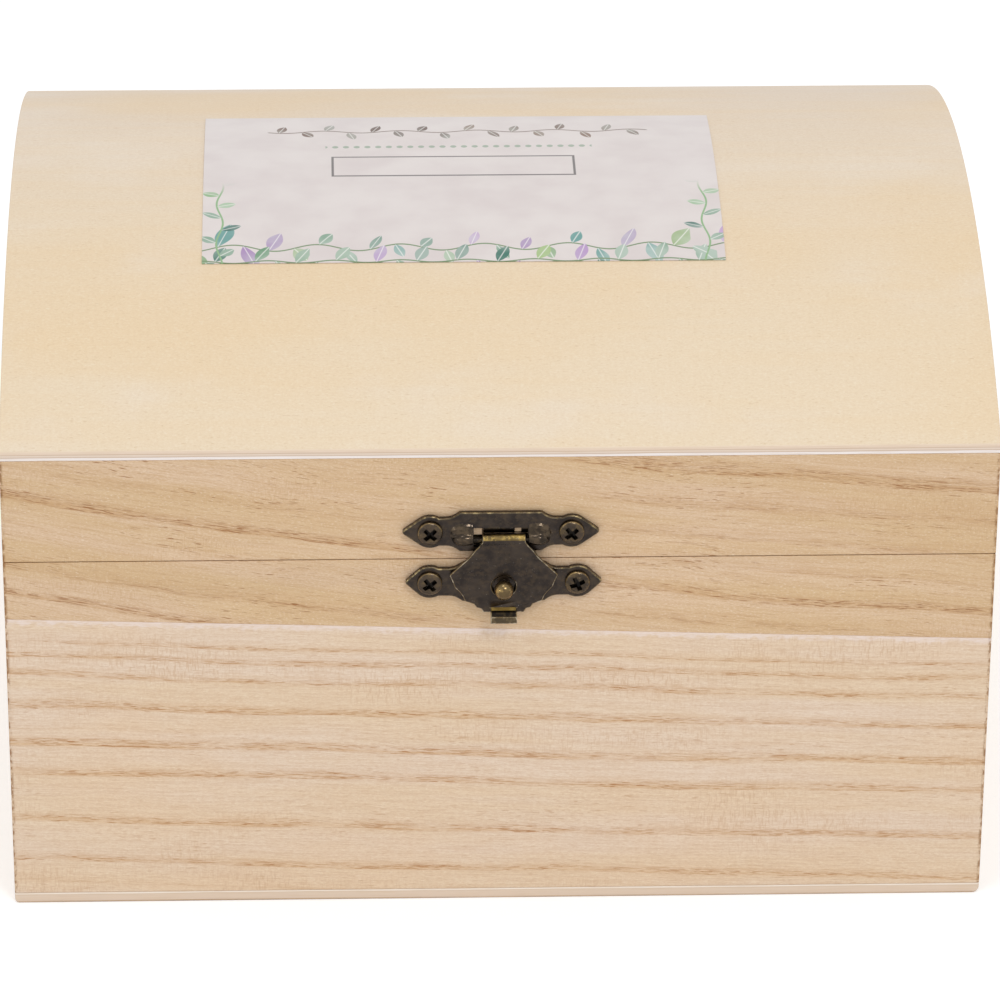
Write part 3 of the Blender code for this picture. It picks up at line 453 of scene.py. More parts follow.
def label_finish():
    """Coated paper label, printed: pale lilac grey with a leafy border of its own and no words."""
    finish, tree, shader, place = new_finish("printed_label_paper", Roughness=0.38, Specular_IOR_Level=0.45)
    u = add(tree, "less", place[0], LABEL_PLACE[0])
    v = add(tree, "less", place[1], LABEL_PLACE[1])
    far = add(tree, "unsigned", u)
    mottle = stretched(tree, place, (9, 7, 20), 2, 3)
    colour = laid_over(tree, linear("#E0D8D5"), [("#D8CECC", 1.0, mottle, 0.3, 0.75)])

    corners = add(tree, "rise", far, 14, 40, 1.0, 1.75)
    near_edge = add(tree, "rise", v, -10.5, -12.5)
    at_edge = add(tree, "rise", v, -19.5, -20.5)
    outside = add(tree, "rise", far, 33.0, 33.6)
    sides = add(tree, "times", outside, add(tree, "rise", v, -2.0, -7.0))
    inside = add(tree, "rise", far, 30.4, 30.0)
    top = add(tree, "times", add(tree, "rise", v, 12.4, 12.9), inside)
    many = ("#7FA08A", "#4F7F6E", "#8FA96A", "#A98BB8", "#6E9E9A", "#C3A3CC", "#88A77C")
    fresh = ("#5E8F6A", "#9BB86E", "#3F7466", "#B592C4", "#7FA08A")
    greens = ("#7FA08A", "#9CBF94", "#3F6F66", "#8FB486")
    browns = ("#7A6358", "#8A7263", "#6D584F", "#7A6358")
    for along, ahead, across, aside, sizes, window, tones, stem_tone in (
            (u, 0.0, v, 21.2, (3.9, 3.5, 0.8, 3.0, corners), near_edge, many, "#7C9270"),
            (u, 2.0, v, 24.6, (3.1, 4.2, 0.3, 7.0, 1.0), at_edge, fresh, "#7C9270"),
            (v, 1.0, far, -37.6, (3.3, 3.2, 0.5, 5.0, 1.0), sides, greens, "#8FB486"),
            (u, 0.0, v, -17.2, (3.7, 3.3, 0.5, 11.0, 1.0), top, browns, "#7A6358")):
        along = add(tree, "plus", along, ahead)
        across = add(tree, "plus", across, aside)
        colour = printed_vine(tree, colour, mottle, (along, across) + sizes, window, tones, stem_tone)

    bead = add(tree, "Math", add(tree, "over", u, 1.7), operation="FRACT")
    bead = add(tree, "times", add(tree, "less", bead, 0.5), 1.7)
    drop = add(tree, "less", v, 10.4)
    ring = add(tree, "times plus", bead, bead, add(tree, "times", drop, drop))
    row = add(tree, "rise", far, 21.2, 21.0)
    beads = add(tree, "times", add(tree, "rise", ring, 0.30, 0.18, 0.0, 0.8), row)

    wide = add(tree, "less", add(tree, "unsigned", add(tree, "plus", u, 1.0)), 19.0)
    tall = add(tree, "less", add(tree, "unsigned", add(tree, "less", v, 3.0)), 3.4)
    frame_edge = add(tree, "unsigned", add(tree, "most", wide, tall))
    colour = laid_over(tree, colour, [("#8FA58F", beads), ("#5A5656", 0.85, frame_edge, 0.24, 0.14)])
    feed(shader, {"Base Color": colour})
    return finish


def bronze_finish(name, dark, mid, warm, warmth, roughness, worn=0.0, facing=None, lacquer=0.4, metallic=1.0,
                  grain=0.18):
    """Stamped brass with a dark antique finish under thin lacquer: brown-black and cloudy, with
    dusty specks, and yellow metal where handling has rubbed the colour away. With a facing, the
    yellow grows from a fifth to full as the surface's tilt towards the top passes from the first to
    the second value, which on the rims and screw rims is a painted highlight where they face up and
    on the stud painted shade on its top."""
    finish, tree, shader, place = new_finish(name, Metallic=metallic, Coat_Weight=lacquer, Coat_Roughness=0.2)
    clouds = stretched(tree, place, (2.6, 2.6, 2.2), 5, 4, 0.6)
    specks = stretched(tree, place, (0.26, 0.26, 0.24), 7)
    rub = mottled(tree, place, (1.1, 1.1, 0.9), 17, 0.45, 0.66, worn, warmth, 3, 0.65)
    if facing:
        # On rims, screw rims and the stud this tilt mask paints light: lighter upward-facing rims, a darker
        # top of the stud
        normal = add(tree, "SeparateXYZ", add(tree, "NewGeometry").outputs["Normal"])
        painted_light_by_tilt = add(tree, "rise", normal.outputs[2], facing[0], facing[1], 0.2)
        rub = add(tree, "times", rub, painted_light_by_tilt)
    colour = laid_over(tree, linear(dark), [(mid, 1.0, clouds, 0.35, 0.68), (warm, rub),
                                            ("#9A9288", 0.6, specks, 0.68, 0.79)])
    rough = add(tree, "rise", clouds, 0.3, 0.7, roughness - 0.07, roughness + 0.08)
    bump = add(tree, "Bump", {"Height": specks, "Strength": grain, "Distance": 0.05 * MM})
    feed(shader, {"Base Color": colour, "Roughness": rough, "Normal": bump})
    return finish


upper_wood = upper_board_finish()
lower_wood = lower_board_finish()
side_wood = side_board_finish()
lid_wood = bent_plywood_finish()
label_paper = label_finish()
antique_bronze = bronze_finish("antique_bronze_plate", "#2C2420", "#433931", "#5A4A36", 0.35, 0.40)
hood_bronze = bronze_finish("pressed_bronze_hood", "#2E251D", "#483D2F", "#665643", 0.6, 0.20,
                            lacquer=0.3, grain=0.02)
# Rubbed rims whose yellow grows where they face up: wear and a painted highlight
rubbed_edge_painted_highlight = bronze_finish("rubbed_bronze_edge_painted_highlight", "#40362A", "#5C4E3A", "#A8966C", 0.9, 0.30, 0.05,
                            (-0.3, 0.4))
# Pale chipped edges of the flap, and the painted highlight on the tab's bend
chipped_edge_and_bend_highlight = bronze_finish("chipped_bronze_edge_and_bend_highlight", "#5A4A2E", "#7A6540", "#D2C8B2", 0.9, 0.34, 0.05,
                             (0.45, -0.1))
rubbed_band = bronze_finish("rubbed_bronze_band", "#46391F", "#64522D", "#BC9F58", 0.7, 0.30, 0.05)
# Yellow for the ledge: partly rubbed metal, partly a painted highlight, made light enough to stand in for the
# light it would catch
rubbed_ledge_painted_light = bronze_finish("rubbed_bronze_ledge_painted_light", "#8E6E30", "#AE8B44", "#D8BB6A", 0.7, 0.45, 0.2,
                             metallic=0.3)
# Lighter bronze for the tab's lower lip: partly wear, partly painted light for its upward tilt
rubbed_lip_painted_light = bronze_finish("rubbed_bronze_lip_painted_light", "#3A3124", "#4E4330", "#786649", 0.7, 0.34, 0.2)
screw_bronze = bronze_finish("antique_bronze_screw", "#3A3026", "#4E4134", "#6E5B3C", 0.5, 0.30)
# Screw rims rubbed yellow, more where they face up: wear and a painted highlight
screw_rim = bronze_finish("rubbed_bronze_screw_rim", "#4A3D2C", "#66553A", "#A88E5E", 0.75, 0.34, 0.2,
                          (-0.7, 0.2))
# Near-black for the screws' cross recesses: painted shade
screw_recess = bronze_finish("dark_screw_recess", "#120E0B", "#1E1814", "#4A4032", 0.4, 0.5, lacquer=0.2)
# Ball stud: rubbed patches, kept dark on its top as painted shade
stud_bronze = bronze_finish("rubbed_bronze_stud_painted_shade", "#54442F", "#70603F", "#B3965F", 1.0, 0.24, 0.1,
                            (0.98, 0.35), lacquer=0.3, grain=0.04)
# Near-black bronze that is painted shade: the window's lip, the pin's channel, the pin, the hoods' inner ends
# and the flap foot's corner
painted_shade_bronze = bronze_finish("bronze_painted_shade", "#14100C", "#231C15", "#5A4A2E", 0.5, 0.42, lacquer=0.2)
bottom_ply = bottom_panel_finish()


def mesh_of(name, shape):
    """Turns a shape that is being edited into a mesh."""
    mesh = bpy.data.meshes.new(name)
    shape.to_mesh(mesh)
    shape.free()
    return mesh


def placed(name, data):
    """An object in the scene that holds a mesh, a lamp or a camera."""
    holder = bpy.data.objects.new(name, data)
    bpy.context.scene.collection.objects.link(holder)
    return holder


def settled(name, source, finishes=(), sharp=30):
    """A finished piece's object at the origin, from a shape that is being edited or from a mesh,
    shaded smooth with its sharp edges kept."""
    mesh = mesh_of(name, source) if isinstance(source, bmesh.types.BMesh) else source
    piece = placed(name, mesh)
    for finish in finishes:
        mesh.materials.append(finish)
    mesh.shade_smooth()
    mesh.set_sharp_from_angle(angle=math.radians(sharp))
    return piece


def after_steps(holder):
    """The plain mesh that an object's modifiers make of it."""
    bpy.context.view_layer.update()
    return bpy.data.meshes.new_from_object(holder.evaluated_get(bpy.context.evaluated_depsgraph_get()))


def whole_copy(node):
    """A copy of a solid's mesh with its doubles merged and its flat faces whole again."""
    shape = bmesh.new()
    shape.from_mesh(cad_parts[node].data)
    bmesh.ops.remove_doubles(shape, verts=shape.verts, dist=2e-6)
    bmesh.ops.dissolve_limit(shape, angle_limit=math.radians(0.5), verts=shape.verts, edges=shape.edges)
    return shape


def refinished(node, finish):
    """Gives a finish to a solid that the scene keeps as it is."""
    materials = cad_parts[node].data.materials
    materials.clear()
    materials.append(finish)


def eased(piece, width, angle=35, edge_finish=-1):
    """Eases a piece's edges by a small width, as sanding or tumbling does."""
    step = piece.modifiers.new("eased edges", "BEVEL")
    step.width = width * MM
    step.segments = 2
    step.limit_method = "ANGLE"
    step.angle_limit = math.radians(angle)
    step.material = edge_finish
    return step


def board(node, body, finish, moves=(), edge=0.18, arched=False):
    """A board of the box with eased edges, grown over its glue gaps: the corners between two places
    on an axis are moved along it, and an arched top is raised to the sheet."""
    shape = whole_copy(node)
    for vertex in shape.verts:
        for axis, start, end, by in moves:
            if start * MM <= vertex.co[axis] <= end * MM:
                vertex.co[axis] += by * MM
        if arched and vertex.co.z > ARCH_FOOT * MM:
            steepness = ARCH_RADIUS / (vertex.co.z / MM - ARCH_CENTRE)
            vertex.co.z += ARCH_CLOSING * MM * steepness
    piece = settled(node + "_board", shape, [finish])
    eased(piece, edge)
    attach(piece, body)
    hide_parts(node)


def build_boards():
    """The base's five boards and the lid's four, each in its own wood."""
    close = GLUE_GAP - 0.02
    half = GLUE_GAP / 2 - 0.01
    foot = (2, 1.9, 2.3, -close)
    top = (2, 59.9, 60.1, SEAM_CLOSING)
    lid_foot = (2, 60.2, 60.4, -SEAM_CLOSING)
    joints = [(1, -58, -57.5, -close), (1, 57.5, 58, close)]
    board("base_front_lower_board", "base", lower_wood, [foot, (2, 44, 51, half)], 0.1)
    board("base_front_upper_board", "base", upper_wood, [(2, 44, 51, -half), top], 0.1)
    board("base_back_board", "base", side_wood, [foot, top])
    for side in ("left", "right"):
        board("base_%s_end" % side, "base", side_wood, [foot, top] + joints)
        board("lid_%s_end" % side, "lid", side_wood, [lid_foot] + joints, arched=True)
    board("lid_front_rail", "lid", upper_wood, [lid_foot], arched=True, edge=0.1)
    board("lid_back_rail", "lid", side_wood, [lid_foot], arched=True)
    rounded_panel()


def rounded_panel():
    """The thin bottom, with its two ends worn round underneath, the right one more."""
    shape = whole_copy("bottom_panel")
    for side, width in ((-1, 0.9), (1, 1.5)):
        ends = [edge for edge in shape.edges
                if all(vertex.co.x * side > 74 * MM and vertex.co.z < 0.3 * MM for vertex in edge.verts)]
        bmesh.ops.bevel(shape, geom=ends, offset=width * MM, offset_type="WIDTH", segments=5, profile=0.5,
                        affect="EDGES")
    piece = settled("bottom_panel_board", shape, [bottom_ply])
    eased(piece, 0.2)
    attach(piece, "base")
    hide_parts("bottom_panel")


def node_group(name, inputs, output):
    """A new geometry tree that hands out a shape, and its inputs, each given as a name and a type."""
    tree = bpy.data.node_groups.new(name, "GeometryNodeTree")
    for label, kind in inputs.items():
        tree.interface.new_socket(label, in_out="INPUT", socket_type="NodeSocket" + kind)
    tree.interface.new_socket(output, in_out="OUTPUT", socket_type="NodeSocketGeometry")
    given = add(tree, "NodeGroupInput").outputs
    return tree, [given[label] for label in inputs]


def build_lid_sheet():
    """The bent sheet: a slab of small cells lifted onto the arch, which carries its own depth."""
    sizes = {"Length": LENGTH * MM, "Depth": DEPTH * MM, "Crest height": HEIGHT * MM,
             "Arch radius": ARCH_RADIUS * MM, "Sheet thickness": PLY * MM}
    tree, given = node_group("bent_sheet", dict.fromkeys(sizes, "Float"), "Sheet")
    length, depth, crest, radius, thickness = given
    slab = add(tree, "GeometryNodeMeshCube",
               {"Size": (1, 1, 1), "Vertices X": 2, "Vertices Y": 97, "Vertices Z": 5})
    parts = add(tree, "SeparateXYZ", add(tree, "GeometryNodeInputPosition"))
    deep = add(tree, "less", 0.5, parts.outputs[2])
    kept = add(tree, "GeometryNodeStoreNamedAttribute",
               {"Geometry": slab.outputs["Mesh"], "Name": "sheet_depth", "Value": deep})
    x = add(tree, "times", parts.outputs[0], length)
    y = add(tree, "times", parts.outputs[1], depth)
    layer = add(tree, "less", radius, add(tree, "times", deep, thickness))
    inside = add(tree, "times", layer, layer)
    inside = add(tree, "less", inside, add(tree, "times", y, y))
    centre = add(tree, "less", crest, radius)
    z = add(tree, "plus", centre, add(tree, "Math", inside, operation="SQRT"))
    there = add(tree, "CombineXYZ", x, y, z)
    lifted = add(tree, "GeometryNodeSetPosition", {"Geometry": kept, "Position": there})
    whole = add(tree, "GeometryNodeRealizeInstances", lifted)
    done = add(tree, "GeometryNodeSetMaterial", {"Geometry": whole, "Material": lid_wood})
    add(tree, "NodeGroupOutput", done)
    piece = settled("bent_plywood_sheet", grown(tree, sizes, bpy.data.meshes.new("sheet_start")))
    eased(piece, 0.16, angle=50)
    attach(piece, "lid")
    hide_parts("lid_top_plywood")


def grown(tree, values, start):
    """Runs a node tree on a starting mesh and returns the finished plain mesh."""
    holder = placed("holder", start)
    step = holder.modifiers.new("made", "NODES")
    step.node_group = tree
    for item in tree.interface.items_tree:
        if item.in_out == "INPUT" and item.name in values:
            step[item.identifier] = values[item.name]
    mesh = after_steps(holder)
    bpy.data.objects.remove(holder)
    return mesh


def turned(profile):
    """A shape turned about the upright axis from its profile of (radius, height)."""
    segments = 48
    shape = bmesh.new()
    rings = []
    for radius, height in profile:
        count = segments if radius else 1
        rings.append([shape.verts.new((radius * math.cos(a), radius * math.sin(a), height))
                      for a in (2 * math.pi * i / segments for i in range(count))])
    for low, high in zip(rings, rings[1:]):
        for i in range(segments):
            j = (i + 1) % segments
            if len(low) == 1:
                shape.faces.new((low[0], high[i], high[j]))
            elif len(high) == 1:
                shape.faces.new((low[j], low[i], high[0]))
            else:
                shape.faces.new((low[i], high[i], high[j], low[j]))
    bmesh.ops.recalc_face_normals(shape, faces=shape.faces)
    return shape


def screw_pattern():
    """One screw of unit head radius with a domed, cross-slotted head, standing on the plate."""
    dome, rim, shank, length = 0.36, 0.16, 0.42, 2.2
    arcs = [(math.sin(a), rim + dome * math.cos(a)) for a in (math.radians(i * 7.5) for i in range(13))]
    foot = [(0.97, 0.04), (0.90, 0.0), (shank, 0.0), (shank, -length), (shank * 0.5, -length - 0.5),
            (0, -length - 0.7)]
    screw = placed("screw_pattern", mesh_of("screw_pattern", turned([(0, rim + dome)] + arcs[1:] + foot)))
    cutter = bmesh.new()
    for turn in (0, math.pi / 2):
        slot = bmesh.ops.create_cube(cutter, size=1.0)["verts"]
        for vertex in slot:
            wide, thick, high = (0.9, 0.24, -0.1) if vertex.co.z < 0 else (1.5, 0.44, 1.5)
            vertex.co = Vector((vertex.co.x * wide, vertex.co.y * thick, rim + dome * high))
        bmesh.ops.rotate(cutter, verts=slot, cent=(0, 0, 0), matrix=Matrix.Rotation(turn, 3, "Z"))
    cross = placed("cross", mesh_of("cross", cutter))
    step = screw.modifiers.new("cross", "BOOLEAN")
    step.solver = "EXACT"
    step.object = cross
    step.use_self = True
    finished = after_steps(screw)
    screw.modifiers.remove(step)
    bpy.data.objects.remove(cross)
    part = finished.attributes.new("part", "INT", "FACE")
    for face in finished.polygons:
        out = math.hypot(face.center.x, face.center.y)
        surface = rim + dome * math.sqrt(max(0.0, 1 - out * out))
        # Faces inside the cross recess are marked for the painted shade
        in_slot = 0.1 < face.center.z < surface - 0.03 and out < 0.78
        part.data[face.index].value = 1 if in_slot else 2 if out > 0.9 else 0
    screw.data = finished
    return screw


def build_screws(name, body, nodes, pattern, radius, seats, facing):
    """Screws of one kind on one body: the pattern set on each seat, turned as it was driven."""
    tree, given = node_group(name, {"Seats": "Geometry", "Head radius": "Float"}, "Screws")
    one = add(tree, "GeometryNodeObjectInfo", {"Object": pattern, "As Instance": True})
    driven = add(tree, "GeometryNodeInputNamedAttribute", {"Name": "driven"})
    outward = add(tree, "FunctionNodeEulerToRotation", facing)
    about = add(tree, "FunctionNodeAxisAngleToRotation",
                {"Axis": (0, 0, 1), "Angle": driven.outputs["Attribute"]})
    turn = add(tree, "FunctionNodeRotateRotation", outward, about, rotation_space="LOCAL")
    size = add(tree, "CombineXYZ", given[1], given[1], given[1])
    seated = add(tree, "GeometryNodeInstanceOnPoints",
                 {"Points": given[0], "Instance": one.outputs["Geometry"], "Rotation": turn, "Scale": size})
    whole = add(tree, "GeometryNodeRealizeInstances", seated)
    done = add(tree, "GeometryNodeSetMaterial", {"Geometry": whole, "Material": screw_bronze})
    part = add(tree, "GeometryNodeInputNamedAttribute", {"Name": "part"}, data_type="INT")
    # The recess takes painted shade, the rim its rubbed yellow with a painted highlight on its upper side
    for number, finish in ((1, screw_recess), (2, screw_rim)):
        chosen = add(tree, "FunctionNodeCompare", {2: part.outputs["Attribute"], 3: number}, data_type="INT",
                     operation="EQUAL")
        done = add(tree, "GeometryNodeSetMaterial",
                   {"Geometry": done, "Selection": chosen, "Material": finish})
    add(tree, "NodeGroupOutput", done)
    start = bpy.data.meshes.new(name + "_seats")
    start.from_pydata([tuple(c * MM for c in seat[:3]) for seat in seats], [], [])
    turns = start.attributes.new("driven", "FLOAT", "POINT")
    turns.data.foreach_set("value", [math.radians(seat[3]) for seat in seats])
    piece = settled(name, grown(tree, {"Head radius": radius * MM}, start), sharp=40)
    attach(piece, body)
    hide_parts(*nodes)


def build_all_screws():
    """Four clasp screws and eight hinge screws."""
    pattern = screw_pattern()
    front = -HALF_DEPTH - SCREW_SEAT_OUT
    for word, body, middle, apart, height, turns in (("mount", "lid", 0.0, 10.65, 65.2, (45, 40)),
                                                     ("catch", "base", CLASP_SHIFT, 11.15, 56.6, (37, 24))):
        nodes = ["%s_screw_%s" % (word, side) for side in ("left", "right")]
        seats = [(middle - apart, front, height, turns[0]), (middle + apart, front, height, turns[1])]
        build_screws("antique_%s_screws" % word, body, nodes, pattern, CLASP_SCREW_RADIUS, seats,
                     (math.pi / 2, 0, 0))
    for body in ("base", "lid"):
        nodes = ["%s_hinge_screw_%d" % (body, number) for number in (1, 2, 3, 4)]
        seats = []
        for number, node in enumerate(nodes):
            low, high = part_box(node)
            middle = (low + high) / 2 / MM
            back = high.y / MM - HINGE_SCREW_DOME * HINGE_SCREW_RADIUS
            seats.append((middle.x, back, middle.z, 31 * number))
        build_screws(body + "_hinge_screws", body, nodes, pattern, HINGE_SCREW_RADIUS, seats,
                     (-math.pi / 2, 0, 0))
    bpy.data.objects.remove(pattern)


def metal(node, body, edge=0.12, flat=False, flap=False):
    """A stamped piece of the clasp or a hinge: its outer edges eased and rubbed to yellow metal; on the
    plates and leaves that yellow is lighter where the edges face up, a painted highlight.
    """
    shape = whole_copy(node)
    if flat:
        plain_plate(shape)
    if flap:
        flared_neck(shape)
        ledge = [face for face in shape.faces if wear_and_painted_light_part(face) == LEDGE]
        sides = ledge + [item for face in ledge for item in face.edges[:] + face.verts[:]]
        bmesh.ops.bisect_plane(shape, geom=list(dict.fromkeys(sides)),
                               plane_co=(0, -(HALF_DEPTH + LEDGE_SHADE_FROM) * MM, 0), plane_no=(0, 1, 0))
    for face in shape.faces:
        face.material_index = wear_and_painted_light_part(face) if flap else 0
    weights = shape.edges.layers.float.new("bevel_weight_edge")
    for line in shape.edges:
        convex = len(line.link_faces) == 2 and line.calc_face_angle_signed() > math.radians(38)
        line[weights] = 1.0 if convex and handled(line, flat) else 0.0
    finishes = [antique_bronze, rubbed_edge_painted_highlight]
    if flap:
        # The flap's ledge and lip take finishes lightened as painted light, its foot's corner the painted
        # shade
        finishes = [antique_bronze, chipped_edge_and_bend_highlight, rubbed_band, rubbed_ledge_painted_light, rubbed_lip_painted_light, painted_shade_bronze]
    piece = settled(node + "_metal", shape, finishes, sharp=32)
    step = eased(piece, edge, edge_finish=1)
    step.limit_method = "WEIGHT"
    step.use_clamp_overlap = False
    step.loop_slide = False
    step.harden_normals = True
    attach(piece, body)
    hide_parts(node)


def flared_neck(shape):
    """Widens the flap in a soft curve where it leaves its roll."""
    steps = 9
    for i in range(steps + 1):
        height = NECK_LOW + (NECK_TOP - NECK_LOW) * i / steps
        bmesh.ops.bisect_plane(shape, geom=shape.verts[:] + shape.edges[:] + shape.faces[:],
                               plane_co=(0, 0, height * MM), plane_no=(0, 0, 1))
    for vertex in shape.verts:
        aside = vertex.co.x / MM - CLASP_SHIFT
        out = -vertex.co.y / MM - HALF_DEPTH
        share = (vertex.co.z / MM - NECK_LOW) / (NECK_TOP - NECK_LOW)
        wrapped_under = out < 1.3 and share < 1
        if abs(aside) > 3 and share > 0 and not wrapped_under:
            flare = NECK_FLARE * math.sin(math.pi * share ** 1.6) if out > 1.7 and share < 1 else 0.0
            vertex.co.x += math.copysign((flare + ROLL_WIDER * min(1.0, 2 * share)) * MM, aside)


def handled(line, flat):
    """Whether fingers reach an edge: not one against the wood, in the upper plate's window or in the
    corner of the flap's foot that is painted near-black as shade."""
    middle = (line.verts[0].co + line.verts[1].co) / 2 / MM
    against_wood = abs(abs(middle.y) - HALF_DEPTH - PLATE_BACK) < 0.05
    in_window = flat and abs(middle.x) < WINDOW_HALF and WINDOW_LOW < middle.z < WINDOW_HIGH
    painted_shade_corner = abs(middle.y + HALF_DEPTH + TAB_TOP_OUT) < 0.05 and middle.z < 53
    return not against_wood and not in_window and not painted_shade_corner


def plain_plate(shape):
    """Leaves only the flat sheet of a plate: its back face, grown to the sheet's thickness."""
    raised = [face for face in shape.faces
              if any(abs(vertex.co.y + (HALF_DEPTH + PLATE_BACK) * MM) > 0.02 * MM for vertex in face.verts)]
    bmesh.ops.delete(shape, geom=raised, context="FACES")
    grown_part = bmesh.ops.extrude_face_region(shape, geom=shape.faces[:])["geom"]
    front = [item for item in grown_part if isinstance(item, bmesh.types.BMVert)]
    bmesh.ops.translate(shape, verts=front, vec=(0, (PLATE_BACK - PLATE_FRONT) * MM, 0))
    bmesh.ops.recalc_face_normals(shape, faces=shape.faces)


def hood_height(x, z):
    """How far a hood stands off its plate: a low pressed cushion, and the pin's barrel on it."""
    along = (x - HOOD_MIDDLE[0]) / (2.0 if x > HOOD_MIDDLE[0] else 2.8)
    cushion = math.hypot(along, (z - HOOD_MIDDLE[1]) / 1.78)
    barrel = math.hypot(along * 1.15, (z - PIN_HEIGHT) / 1.05)
    low = max(0.0, 1 - cushion ** 2.4) ** 0.55
    high = max(0.0, 1 - barrel ** 2) ** 0.6
    return 0.6 * low + 0.75 * high


def build_hood(word, side):
    """One pressed hood of the upper plate; its inner end, where the pin goes in, is a wall painted near-black
    as the shade of an opening.
    """
    shape = bmesh.new()
    across = [HOOD_START + HOOD_STEP * i for i in range(42)]
    upward = [HOOD_FOOT + HOOD_STEP * i for i in range(45)]
    grid = [[shape.verts.new((side * x, -(PLATE_FRONT - 0.03 + hood_height(x, z)), z)) for z in upward]
            for x in across]
    for low, high in zip(grid, grid[1:]):
        for j in range(len(upward) - 1):
            shape.faces.new((low[j], high[j], high[j + 1], low[j + 1]))
    inner = grid[0]
    free = [vertex for row in grid[:-1] for vertex in row[1:-1]]
    for _ in range(6):
        bmesh.ops.smooth_vert(shape, verts=free, factor=0.5, use_axis_x=False, use_axis_y=True,
                              use_axis_z=False)
    ring = inner + [row[-1] for row in grid[1:]] + grid[-1][-2::-1] + [row[0] for row in grid[-2:0:-1]]
    under = [shape.verts.new((vertex.co.x, -PLATE_FRONT + 0.3, vertex.co.z)) for vertex in ring]
    for i in range(len(ring)):
        j = (i + 1) % len(ring)
        wall = shape.faces.new((ring[i], ring[j], under[j], under[i]))
        # The inner end's wall takes the painted shade
        wall.material_index = 1 if i < len(inner) - 1 else 0
    shape.faces.new(under)
    for vertex in shape.verts:
        vertex.co = Vector((vertex.co.x, vertex.co.y - HALF_DEPTH, vertex.co.z)) * MM
    bmesh.ops.recalc_face_normals(shape, faces=shape.faces)
    piece = settled(word + "_pressed_hood", shape, [hood_bronze, painted_shade_bronze], sharp=60)
    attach(piece, "lid")


def wear_and_painted_light_part(face):
    """Which finish a face of the flap takes: its roll, the back of the ledge at its foot and the lip
    below it, both lightened as painted light, or the corner between them, painted near-black as shade."""
    middle = face.calc_center_median() / MM
    if middle.z > NECK_TOP and face.normal.z > 0.4 and face.normal.y < -0.2:
        return ROLL
    if middle.z < 53.5 and face.normal.z > 0.45:
        return LEDGE if middle.y > -(HALF_DEPTH + LEDGE_SHADE_FROM) else SHADE_CORNER
    if middle.z < 52.5 and face.normal.y < -0.5 and middle.y < -(HALF_DEPTH + 3.3):
        return LIP if middle.z < TAB_KNEE else SHADE_CORNER
    return 0


def add_bar(shape, outline, left, right):
    """Adds a straight bar from left to right; its outline is in (out from the front, height)."""
    ends = [[shape.verts.new(Vector((x, -HALF_DEPTH - out, z)) * MM) for out, z in outline]
            for x in (left, right)]
    for i in range(len(outline)):
        j = (i + 1) % len(outline)
        shape.faces.new((ends[0][i], ends[0][j], ends[1][j], ends[1][i]))
    shape.faces.new(ends[0])
    shape.faces.new(reversed(ends[1]))
    bmesh.ops.recalc_face_normals(shape, faces=shape.faces)


def build_tab_bend():
    """The bend across the finger tab, a shallow rib along its knee in a pale finish that is a painted
    highlight.
    """
    shape = bmesh.new()
    outline = [(TAB_KNEE_OUT - 0.05 + TAB_RIB * math.sin(a), TAB_KNEE + TAB_RIB * math.cos(a))
               for a in (math.radians(30 * i) for i in range(12))]
    add_bar(shape, outline, CLASP_SHIFT - TAB_HALF, CLASP_SHIFT + TAB_HALF)
    piece = settled("tab_bend", shape, [chipped_edge_and_bend_highlight], sharp=60)
    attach(piece, "flap")


def build_stud():
    """The catch's stud: a shoulder, a neck and a round ball, rubbed bright in patches, with its top painted
    dark as shade.
    """
    low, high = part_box("catch_stud")
    middle = (low + high) / 2 / MM
    dome = [(BALL_RADIUS * math.sin(a), BALL_OUT + BALL_RADIUS * math.cos(a))
            for a in (math.radians(5 * i) for i in range(1, 29))]
    foot = [(0.9, BALL_OUT - BALL_RADIUS * 0.8), (0.9, 1.35), (1.4, 1.27), (1.4, 1.0), (0.7, 1.0),
            (0.7, -2.0), (0, -2.3)]
    shape = turned([(0, BALL_OUT + BALL_RADIUS)] + dome + foot)
    for vertex in shape.verts:
        x, y, out = vertex.co
        vertex.co = Vector((middle.x + x, -HALF_DEPTH - out, middle.z + y)) * MM
    bmesh.ops.recalc_face_normals(shape, faces=shape.faces)
    for face in shape.faces:
        face.material_index = 0 if face.calc_center_median().y < -(HALF_DEPTH + 1.9) * MM else 1
    piece = settled("ball_stud", shape, [stud_bronze, antique_bronze], sharp=50)
    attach(piece, "base")
    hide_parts("catch_stud")


def build_window_lip():
    """The pressed lip that closes the middle of the plate's window behind the flap's roll, painted near-black
    as the shade there.
    """
    outline = [(0.95, 65.95), (0.35, 65.95), (0.12, 64.75), (0.42, 64.75), (0.62, 65.45), (0.95, 65.6)]
    shape = bmesh.new()
    for left, right in ((-2.65, 2.1), (3.05, 4.12)):
        add_bar(shape, outline, left, right)
    piece = settled("window_lip", shape, [painted_shade_bronze, antique_bronze])
    eased(piece, 0.08, edge_finish=1)
    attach(piece, "lid")


def build_behind_window():
    """The rail's wood seen through the window beside the roll, and near-black patches of painted shade where
    the pin's channel lies.
    """
    wood = ((-4.1, -2.85, 64.55, 65.88), (2.1, 3.05, 65.1, 65.88))
    channel = ((-4.1, -2.65, 62.68, 64.54), (3.1, 4.1, 62.68, 64.54))
    for name, finish, slot, out, patches in (
            ("wood_behind_window", upper_wood, "tan_board", 0.5, wood),
            ("channel_behind_window", painted_shade_bronze, "bronze", 0.27, channel)):
        shape = bmesh.new()
        for left, right, low, high in patches:
            for corner in bmesh.ops.create_cube(shape, size=1.0)["verts"]:
                x = right if corner.co.x > 0 else left
                y = -HALF_DEPTH - (0.01 if corner.co.y > 0 else out)
                z = high if corner.co.z > 0 else low
                corner.co = Vector((x, y, z)) * MM
        piece = settled(name, shape, [finish])
        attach(piece, "lid")


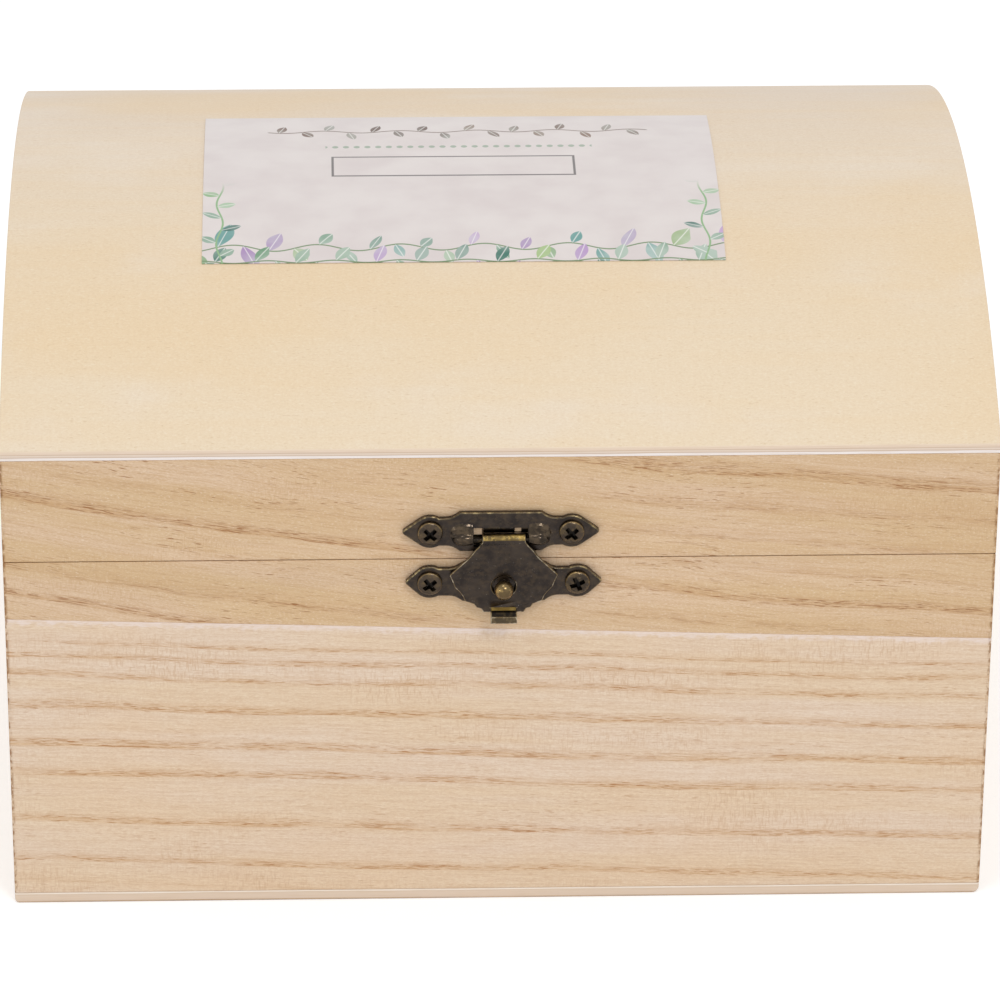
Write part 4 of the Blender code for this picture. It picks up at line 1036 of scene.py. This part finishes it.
def build_clasp():
    """The clasp's plates, flap, pin and ball stud, and the leaves of the hinges behind."""
    metal("hasp_mount_plate", "lid", edge=0.22, flat=True)
    metal("catch_plate", "base", edge=0.22)
    metal("hasp_flap", "flap", edge=0.15, flap=True)
    build_tab_bend()
    # The pin is painted near-black as shade
    refinished("hasp_pin", painted_shade_bronze)
    build_stud()
    build_window_lip()
    build_behind_window()
    build_hood("left", -1)
    build_hood("right", 1)
    for side in ("left", "right"):
        metal(side + "_hinge_base_leaf", "base")
        metal(side + "_hinge_lid_leaf", "lid")
        refinished(side + "_hinge_pin", antique_bronze)


def build_floor():
    """Pale paper floor that glows a little to the camera."""
    shape = bmesh.new()
    bmesh.ops.create_grid(shape, x_segments=1, y_segments=1, size=FLOOR_SIZE)
    floor = placed("floor", mesh_of("floor", shape))
    finish, tree, shader = bare_finish("white_paper_floor", Base_Color=linear("#F2F2F2"), Roughness=0.9,
                                       Specular_IOR_Level=0.0, Emission_Color=(1, 1, 1, 1))
    seen = add(tree, "LightPath").outputs["Is Camera Ray"]
    feed(shader, {"Emission Strength": add(tree, "times", seen, FLOOR_GLOW)})
    floor.data.materials.append(finish)


def build_surroundings():
    """White surroundings, a little dimmer for the light they give than for how they look."""
    world = bpy.data.worlds.new("pale_surroundings")
    bpy.context.scene.world = world
    world.use_nodes = True
    tree = world.node_tree
    paths = add(tree, "LightPath").outputs
    seen = add(tree, "most", paths["Is Camera Ray"], paths["Is Glossy Ray"])
    seen = add(tree, "most", seen, paths["Is Transmission Ray"])
    strength = add(tree, "MapRange", {"Value": seen, "To Min": SKY_GIVEN, "To Max": SKY_SEEN})
    sky = next(node for node in tree.nodes if node.type == "BACKGROUND")
    feed(sky, {"Color": (1, 1, 1, 1), "Strength": strength})


def build_lamps():
    """Soft square lamps, turned towards the box."""
    for name, place, size, power in LAMPS:
        lamp = bpy.data.lights.new(name, "AREA")
        lamp.size = size
        lamp.energy = power
        holder = placed(name, lamp)
        holder.location = place
        aim = Vector(LAMP_AIM) - Vector(place)
        holder.rotation_euler = aim.to_track_quat("-Z", "Y").to_euler()


def build_camera():
    """The camera at the photograph's angle, and plain colours in its picture."""
    yaw, pitch, roll = (math.radians(a) for a in CAMERA_TURN)
    forward = Vector((math.sin(yaw) * math.cos(pitch), math.cos(yaw) * math.cos(pitch), -math.sin(pitch)))
    right = Vector((math.cos(yaw), -math.sin(yaw), 0))
    down = forward.cross(right)
    across = math.cos(roll) * right + math.sin(roll) * down
    below = math.cos(roll) * down - math.sin(roll) * right
    data = bpy.data.cameras.new("camera")
    data.lens = CAMERA_LENS
    data.sensor_width = CAMERA_SENSOR
    camera = placed("camera", data)
    turned_to = Matrix((across, -below, -forward)).transposed().to_4x4()
    camera.matrix_world = Matrix.Translation(CAMERA_PLACE) @ turned_to
    bpy.context.scene.camera = camera
    bpy.context.scene.view_settings.view_transform = "Standard"


build_boards()
build_lid_sheet()
build_clasp()
build_all_screws()
refinished("lid_label", label_paper)
build_floor()
build_surroundings()
build_lamps()
build_camera()
